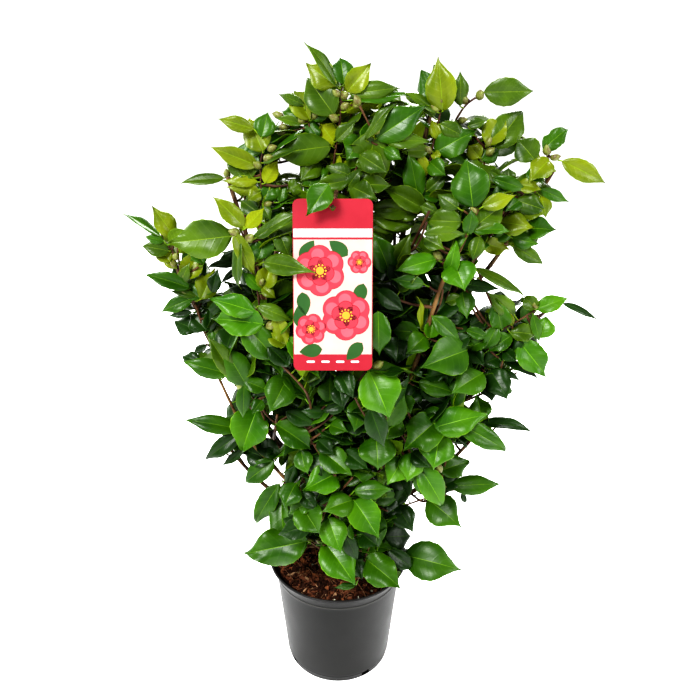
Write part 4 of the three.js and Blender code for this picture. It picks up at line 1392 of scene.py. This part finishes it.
def grow_shoot(foliage, start, aim, tint, droop, leaves, size, buds):
    """A twig from a limb to its tip, with leaves in a spiral and buds at the end."""
    length = np.linalg.norm(aim - start)
    bend = start + (aim - start) * 0.5 - UP * 0.12 * length + rng.normal(0, 0.06 * length, 3)
    path = cubic(start, start + (bend - start) * 0.6, bend + (aim - bend) * 0.3, aim, 24)
    shown = path.at(np.linspace(0.25, 1, 12))
    if foliage.stray(shown) or foliage.hides(shown) > 0.3:
        return
    foliage.twigs.append((path, TWIG_FOOT + SHOOT_GROWTH * length, TWIG_TIP))
    turn = rng.random() * 2 * math.pi
    for k in range(leaves):
        share = 1.0 - LEAFY_SHARE * (k / max(1, leaves - 1)) ** 0.9
        root = path.at(share)
        axis = path.heading(share)
        spoke = spoke_at(axis, turn + k * GOLDEN_TURN + rng.normal(0, 0.25))
        lean = math.radians(TIP_LEAN + FOOT_LEAN * (1 - share) / LEAFY_SHARE + rng.normal(0, 10))
        outward = unit(np.append(root[:2] - CROWN_MIDDLE, 0.0) + 1e-6)
        swell = math.sin(math.pi * min(1.0, 0.25 + k / max(1, leaves)))
        long = size * (0.8 + 0.26 * swell) * rng.uniform(0.85, 1.1)
        chosen = tint
        if tint != "dark" and rng.random() < 0.22:
            chosen = "green" if tint == "young" else "dark"
        place_leaf(foliage, chosen, root, axis, spoke, lean, droop * rng.uniform(0.5, 1.3), long, outward)
    axis = path.heading(0.98)
    for k in range(buds):
        direction = unit(axis + spoke_at(axis, turn + 2.2 * k) * (0.25 + 0.5 * k))
        foliage.buds.append((aim, direction, rng.uniform(0.85, 1.15)))


def dress_twig(foliage, path):
    """Leaves down a twig of the crown's face, turned to the sides and the back of it."""
    turn = rng.random() * 2 * math.pi
    for k in range(int(path.length / LEAF_GAP)):
        share = 1.0 - (k + 0.5) * LEAF_GAP / path.length
        root = path.at(share)
        axis = path.heading(share)
        tint = "green" if rng.random() < 0.4 else "dark"
        for attempt in range(6):
            spoke = spoke_at(axis, turn + (k + 0.31 * attempt) * GOLDEN_TURN)
            lean = math.radians(rng.uniform(40, 80))
            outward = unit((1.2 * np.sign(spoke[0]), 0.5, 0.0))
            size = rng.uniform(0.042, 0.062)
            if place_leaf(foliage, tint, root, axis, spoke, lean, rng.uniform(0.0, 0.6), size, outward):
                break


def grow_spurs(foliage, path):
    """Short leafy spurs down the outer part of a bough, turned to every side of it."""
    turn = rng.random() * math.tau
    count = int(path.length * SPUR_REACH / SPUR_GAP)
    for k in range(count):
        share = 1.0 - SPUR_REACH * (k + 0.5) / count
        start = path.at(share)
        spoke = spoke_at(path.heading(share), turn + k * GOLDEN_TURN)
        aim = start + unit(spoke + UP * 0.3) * rng.uniform(0.03, 0.055)
        grow_shoot(foliage, start, aim, "green" if k % 3 == 0 else "dark", 0.3, 4, 0.056, 0)


def grow_skirt(foliage, stem):
    """Low shoots from the foot of the stem round the sides and the back, down to the pot's rim."""
    for k in range(SKIRT_SHOOTS):
        bearing = math.radians(80 + 200 * k / (SKIRT_SHOOTS - 1))
        start = stem.at(rng.uniform(0.55, 0.95))
        aim = heading(bearing, 0) * rng.uniform(0.07, 0.11) + UP * rng.uniform(0.215, 0.285)
        grow_shoot(foliage, start, aim, "green" if k % 2 else "dark", 0.6, 7, 0.06, 0)


def grow_mass(foliage, limbs, name):
    """The shoots of one mass, from its limb or from a bough of its own, spread over its box."""
    carrier, share, shoots, tint, droop = MASSES[name]
    low, high = (np.array(corner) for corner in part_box(name + "_foliage"))
    centre, half = (low + high) / 2, (high - low) / 2
    path = limbs[carrier][0]
    root = path.at(share)
    own_end = np.linalg.norm(path.at(1.0) - centre) < 0.03
    if own_end:
        core = [path.at(s) for s in np.linspace(share, 1.0, shoots)]
    else:
        inner = bough_path(root, centre + (0.0, max(0.0, -0.2 * centre[1]), 0.0), 0.3)
        foliage.twigs.append((inner, *INNER_BOUGH))
        core = [inner.at(s) for s in np.linspace(0.55, 1.0, shoots)]
    spread = fibonacci(shoots + 1, rng.random() * 2 * math.pi)[:shoots]
    size = np.clip(half.mean() * 1.3, 0.05, 0.070)
    upper = centre[2] > 0.5
    for start, direction in zip(core, spread[::-1]):
        outward = np.append(centre[:2] * 0.6, 0.02)
        direction = unit(direction + unit(outward) * 0.5 + UP * 0.15)
        aim = centre + direction * half * rng.uniform(0.42, 0.66)
        buds = int(rng.integers(1, 4)) if upper and centre[1] > 0.05 and rng.random() < 0.6 else 0
        grow_shoot(foliage, start, aim, tint, droop, int(rng.integers(6, 9)), size, buds)


# ---- meshes of the leaves, twigs and buds

def leaf_outline():
    """Shares of the length, closer at both ends, and the half width at each as a share of the greatest:
    an oval that is broadest before the middle and drawn out to a drip tip."""
    even = np.linspace(0, 1, LEAF_ROWS)
    shares = 0.6 * even + 0.4 * (0.5 - 0.5 * np.cos(math.pi * even))
    widths = shares ** 0.72 * (1 - shares)
    widths /= widths.max()
    near_tip = np.clip((shares - 0.60) / 0.40, 0, 1)
    widths *= 1 - 0.70 * near_tip
    return shares, np.maximum(widths, 0.045)


def leaf_grids(leaves):
    """The vertex grids of many leaves at once, upper faces and under faces. Each blade bends down its
    length, rolls to a side, folds up from its midrib, arches over and ripples along its edges."""
    _, bases, tips, face, half, bend = (np.array(column, float) for column in zip(*leaves))
    count = len(leaves)
    along = unit(tips - bases)
    face = unit(face - along * np.sum(face * along, axis=1, keepdims=True))
    side = np.cross(along, face)
    size = np.linalg.norm(tips - bases, axis=1)[:, None]
    shares, widths = leaf_outline()
    drip = rng.uniform(0.05, 0.6, count)[:, None]
    angle = bend[:, None] * shares[None] ** 1.5 + drip * np.clip((shares - 0.8) / 0.2, 0, 1)[None]
    step = np.diff(shares, prepend=0.0)[None]
    run = np.cumsum(step * np.cos(angle), axis=1)
    fall = np.cumsum(step * np.sin(angle), axis=1)
    chord = np.hypot(run[:, -1:], fall[:, -1:])
    turn = np.arctan2(fall[:, -1:], run[:, -1:])
    ahead = (run * np.cos(turn) + fall * np.sin(turn)) / chord * size
    drop = (fall * np.cos(turn) - run * np.sin(turn)) / chord * size
    centre = bases[:, None] + ahead[..., None] * along[:, None] - drop[..., None] * face[:, None]
    level = (angle - turn)[..., None]
    normal = np.sin(level) * along[:, None] + np.cos(level) * face[:, None]
    roll = rng.normal(*LEAF_ROLL, count)[:, None] * (shares[None] - 0.35)
    turned_side = np.cos(roll)[..., None] * side[:, None] + np.sin(roll)[..., None] * normal
    turned_up = np.cos(roll)[..., None] * normal - np.sin(roll)[..., None] * side[:, None]
    fold, arch, wave = (rng.normal(*spread, count)[:, None, None]
                        for spread in (LEAF_FOLD, LEAF_ARCH, LEAF_WAVE))
    phase = rng.random((count, 1, 2)) * 2 * math.pi
    t = LEAF_COLUMNS[None, None]
    breadth = (half[:, None] * widths[None])[..., None]
    phase = np.where(t > 0, phase[..., 1:], phase[..., :1])
    ripple = np.sin(2 * math.pi * 1.7 * shares[None, :, None] + phase)
    rise = breadth * (fold * np.abs(t) - arch * np.abs(t) ** 3)
    rise = rise + wave * half[:, None, None] * ripple * t * t * 2.2
    teeth = 1 + 0.02 * np.where(np.arange(len(shares)) % 2, 1, -1)[None, :, None] * (np.abs(t) > 0.99)
    top = (centre[:, :, None] + turned_side[:, :, None] * (breadth * t * teeth)[..., None]
           + turned_up[:, :, None] * rise[..., None])
    return top, top - turned_up[:, :, None] * LEAF_THICKNESS


def leaf_faces(rows, columns):
    """Faces of one leaf over its upper grid and the inner part of its under grid, and their finishes."""
    upper = np.arange(rows * columns).reshape(rows, columns)
    lower = upper.copy()
    inner = np.arange((rows - 2) * (columns - 2)).reshape(rows - 2, columns - 2)
    lower[1:-1, 1:-1] = rows * columns + inner
    faces, finishes = [], []
    middle = (columns - 2) // 2
    for i in range(rows - 1):
        for j in range(columns - 1):
            faces.append((upper[i, j], upper[i + 1, j], upper[i + 1, j + 1], upper[i, j + 1]))
            finishes.append(2 if j == middle else 3 if j in (0, columns - 2) else 0)
            faces.append((lower[i, j], lower[i, j + 1], lower[i + 1, j + 1], lower[i + 1, j]))
            finishes.append(2 if j == middle else 1)
    return np.array(faces), np.array(finishes)


def make_leaves(foliage):
    """The leaves of each tint, joined into pieces with their petioles."""
    finishes_of = {tint: leaf_finishes(tint) for tint in LEAF_TONES}
    rows, columns = LEAF_ROWS, len(LEAF_COLUMNS)
    faces, finishes = leaf_faces(rows, columns)
    spots = np.stack(np.meshgrid(LEAF_COLUMNS * 0.5 + 0.5, leaf_outline()[0]), axis=-1)
    spots = np.concatenate([spots.reshape(-1, 2), spots[1:-1, 1:-1].reshape(-1, 2)])
    for tint, leaves in foliage.leaves.items():
        replaced = [n + "_foliage" for n in MASSES if MASSES[n][3] == tint]
        for part, start in enumerate(range(0, len(leaves), LEAVES_IN_A_PIECE)):
            some = leaves[start:start + LEAVES_IN_A_PIECE]
            top, under = leaf_grids(some)
            count = len(some)
            grids = [top.reshape(count, -1, 3), under[:, 1:-1, 1:-1].reshape(count, -1, 3)]
            vertices = np.concatenate(grids, axis=1)
            piece = Piece()
            every = faces[None] + (np.arange(count) * vertices.shape[1])[:, None, None]
            piece.add(vertices, every.reshape(-1, 4), finish=np.tile(finishes, count))
            piece.spots.append(np.tile(spots, (count, 1)))
            for root, base, tip, *_ in some:
                add_petiole(piece, root, base, tip)
            name = "leaves_%s_%d" % (tint, part + 1)
            piece.build(name, finishes_of[tint], replaced if part == 0 else ())


def add_petiole(piece, root, base, tip):
    """The stalk from the twig to the leaf's base and a little way along its midrib."""
    points = [root, root * 0.45 + base * 0.55 - UP * 0.0006, base, base + (tip - base) * 0.05]
    radii = [PETIOLE_RADIUS * share for share in (1.2, 1.0, 0.9, 0.5)]
    before = piece.count
    add_tube(piece, points, radii, 5, 2)
    piece.spots.append(np.tile([[0.5, 0.0]], (piece.count - before, 1)))


def make_twigs(foliage):
    piece = Piece()
    for path, foot, tip in foliage.twigs:
        steps = max(6, int(path.length / 0.007))
        shares = np.linspace(0, 1, steps)
        radii = foot + (tip - foot) * shares
        radii = radii * (1 + 0.12 * (np.arange(steps) % 3 == 1)) * (1 + rng.normal(0, 0.03, steps))
        sides, finish = (9, 1) if foot > STOUT else (7, 0)
        add_tube(piece, path.at(shares), radii, sides, finish)
    twig = bark_finish("twig_bark", screen(56, 33, 21), screen(86, 60, 38))
    bough = bark_finish("bough_bark", screen(72, 50, 27), screen(114, 87, 52))
    piece.build("twigs", [twig, bough])


def make_buds(foliage):
    """Closed buds with a slight spiral of scales."""
    piece = Piece()
    angles = turns(BUD_SIDES)
    for root, direction, scale in foliage.buds:
        points = root + np.outer(BUD_PROFILE[:, 0] * BUD_LENGTH * scale, direction)
        spiral = 3 * angles[None] + 8.0 * BUD_PROFILE[:, :1]
        radii = BUD_PROFILE[:, 1:] * BUD_RADIUS * scale * (1 + 0.07 * np.sin(spiral))
        tip = points[-1] + direction * 0.0006
        radii = np.vstack([radii, np.full(BUD_SIDES, 0.0003)])
        add_tube(piece, np.vstack([points, tip]), radii, BUD_SIDES)
    piece.build("flower_buds", [bud_scale()])


# ---- hang tag

def on_tag(points, lift):
    """Places flat points of the tag's own plane in the scene, lifted off its face."""
    points = np.asarray(points, float)
    along = heading(math.pi, math.pi / 2 - TAG_TILT)
    front = heading(0, TAG_TILT)
    side = np.array([1.0, 0.0, 0.0])
    return TAG_CENTRE + points[:, :1] * side + points[:, 1:2] * along + lift * front


def round_box(width, length, corner, steps=6):
    """The outline of a rectangle with round corners, counter-clockwise."""
    points = []
    for k, (sx, sy) in enumerate(((1, 1), (-1, 1), (-1, -1), (1, -1))):
        for turn in np.linspace(0, math.pi / 2, steps):
            angle = turn + k * math.pi / 2
            x = sx * (width / 2 - corner) + corner * math.cos(angle)
            y = sy * (length / 2 - corner) + corner * math.sin(angle)
            points.append((x, y))
    return np.array(points)


def add_slab(piece, outline, low, high, finish):
    """A thin flat shape parallel to the tag's face."""
    count = len(outline)
    vertices = np.concatenate([on_tag(outline, low), on_tag(outline, high)])
    ring = np.arange(count)
    piece.add(vertices, band(0, count, count), [ring[::-1], ring + count], finish=finish)


def petal(centre, turn, length, width, steps=9):
    """A rounded petal or leaf outline that starts at a centre."""
    t = np.linspace(0, 1, steps)
    half = width / 2 * np.sin(math.pi * t ** 0.8) ** 0.8
    right = np.stack([half, t * length], axis=1)
    left = np.stack([-half[1:-1], t[1:-1] * length], axis=1)[::-1]
    shape = np.concatenate([right, left])
    spin = np.array([[math.cos(turn), math.sin(turn)], [-math.sin(turn), math.cos(turn)]])
    return shape @ spin + np.asarray(centre)


def disc(centre, radius, steps=20):
    angles = turns(steps)
    return np.stack([np.cos(angles), np.sin(angles)], axis=1) * radius + np.asarray(centre)


def off(x, y, reach, turn):
    """The point at a reach and a turn from another."""
    return x + reach * math.cos(turn), y + reach * math.sin(turn)


def add_card(piece, outline, hole, low, high, finish):
    """The tag's card: a plate whose hole is open, with a wall round both."""
    centre = hole.mean(axis=0)
    angles = np.arctan2(outline[:, 1] - centre[1], outline[:, 0] - centre[0])
    radius = np.linalg.norm(hole[0] - centre)
    inner = centre + radius * np.stack([np.cos(angles), np.sin(angles)], axis=1)
    count = len(outline)
    rings = [on_tag(outline, low), on_tag(outline, high), on_tag(inner, high), on_tag(inner, low)]
    faces = [band(k * count, (k + 1) % 4 * count, count) for k in range(4)]
    piece.add(np.concatenate(rings), *faces, finish=finish)


def make_tag():
    """The card with its hole, and the print in thin layers on its front."""
    inks = [print_ink(name, screen(*base), screen(*shade)) for name, (base, shade) in TAG_INKS.items()]
    red, white, pink, green, yellow, rose, blush, cream = range(len(inks))
    card = Piece()
    base = TAG_THICKNESS * 0.2
    layer = TAG_THICKNESS * 0.025
    top = TAG_LENGTH / 2
    hole = disc((0, top - TAG_HOLE_INSET), TAG_HOLE, 24)
    add_card(card, round_box(TAG_WIDTH, TAG_LENGTH, TAG_CORNER), hole, -TAG_THICKNESS / 2, base, red)

    def ink(outline, level, finish):
        add_slab(card, outline, base + layer * (level - 1), base + layer * level, finish)

    def box(x, y, width, length, corner):
        return round_box(width, length, corner, 3) + np.array((x, y))

    wide = TAG_WIDTH - 0.0012
    ink(box(0, top - 0.0315, wide, 0.0080, 0.0003), 1, white)
    ink(box(0, top - 0.0915, wide, 0.1080, 0.0003), 1, cream)
    for x, y, turn in TAG_LEAVES:
        ink(petal((x, y - 0.008), turn, 0.022, 0.013), 2, green)
    for x, y, size in TAG_BLOSSOMS:
        for k in range(6):
            turn = k * math.tau / 6 + x * 40
            spot = off(x, y, 0.5 * size, turn)
            ink(disc(spot, size * 0.5, 24), 3 + k % 2, rose)
            ink(disc(spot, size * 0.475, 24), 5 + k % 2, pink)
            ink(disc(off(x, y, 0.62 * size, turn + 0.1), size * 0.25), 7, blush)
        for k in range(5):
            spot = off(x, y, 0.27 * size, k * math.tau / 5 + x * 30)
            ink(disc(spot, size * 0.32), 8, rose)
            ink(disc(spot, size * 0.295), 9, pink)
        ink(disc((x, y), size * 0.16), 10, yellow)
        for k in range(11):
            ink(disc(off(x, y, size * 0.23, k * math.tau / 11), size * 0.04, 8), 10, yellow)
    for k in range(4):
        ink(box(-0.021 + 0.014 * k, -top + 0.0085, 0.008, 0.0022, 0.001), 1, white)
    card.build("tag_card", inks, ["hang_tag"], smooth=False)


# ---- studio

def make_camera():
    data = bpy.data.cameras.new("camera")
    data.sensor_width = SENSOR_WIDTH
    data.lens = CAMERA_LENS
    data.shift_x = CAMERA_SHIFT
    camera = bpy.data.objects.new("camera", data)
    camera.location = CAMERA_PLACE
    camera.rotation_euler = (math.radians(90 - CAMERA_PITCH), 0.0, 0.0)
    bpy.context.scene.collection.objects.link(camera)
    bpy.context.scene.camera = camera


def make_floor():
    mesh = bpy.data.meshes.new("floor")
    corners = [(x * FLOOR_REACH, y * FLOOR_REACH, 0) for x, y in ((-1, -1), (1, -1), (1, 1), (-1, 1))]
    mesh.from_pydata(corners, [], [(0, 1, 2, 3)])
    s = Shader("floor_white")
    tone = s.mix(s.noise(3.0), (0.97, 0.97, 0.97), (0.985, 0.985, 0.985))
    glow = {"Emission_Color": (1.0, 1.0, 1.0, 1.0), "Emission_Strength": 0.4}
    mesh.materials.append(s.finish(tone, 0.9, **glow))
    floor = bpy.data.objects.new("floor", mesh)
    bpy.context.scene.collection.objects.link(floor)


def make_lamp(name, place, size, power):
    data = bpy.data.lights.new(name, "AREA")
    data.shape = "RECTANGLE"
    data.size, data.size_y = size
    data.energy = power
    light = bpy.data.objects.new(name, data)
    light.location = place
    x, y, z = unit(np.array(LAMP_AIM) - np.array(place))
    light.rotation_euler = (math.atan2(math.hypot(x, y), -z), 0.0, math.atan2(y, x) - math.pi / 2)
    bpy.context.scene.collection.objects.link(light)


def make_studio():
    """White to the camera, and a softer even light to all else, with four lamps."""
    world = bpy.data.worlds.new("studio")
    world.use_nodes = True
    background = world.node_tree.nodes["Background"]
    background.inputs["Color"].default_value = (1.0, 1.0, 1.0, 1.0)
    rays = world.node_tree.nodes.new("ShaderNodeLightPath")
    strength = world.node_tree.nodes.new("ShaderNodeMapRange")
    strength.inputs["To Min"].default_value = ROOM_LIGHT
    world.node_tree.links.new(rays.outputs["Is Camera Ray"], strength.inputs["Value"])
    world.node_tree.links.new(strength.outputs["Result"], background.inputs["Strength"])
    bpy.context.scene.world = world
    for name, lamp in LAMPS.items():
        make_lamp(name, *lamp)
    bpy.context.scene.view_settings.view_transform = "Standard"
    bpy.context.scene.view_settings.look = "High Contrast"


# ---- the shrub

make_camera()
make_floor()
make_studio()
make_pot()
make_bark()
limbs = grow_limbs()
make_stems(limbs)
foliage = Foliage()
for spray in SPRAYS:
    grow_spray(foliage, limbs, spray)
for twig in list(foliage.face_twigs):
    dress_twig(foliage, twig)
for mass in MASSES:
    grow_mass(foliage, limbs, mass)
for shoot in ("left_foot_shoot", "right_foot_shoot"):
    dress_twig(foliage, limbs[shoot][0])
for bough in LIMBS:
    grow_spurs(foliage, limbs[bough][0])
grow_skirt(foliage, limbs["main_stem"][0])
make_leaves(foliage)
make_twigs(foliage)
make_buds(foliage)
make_tag()
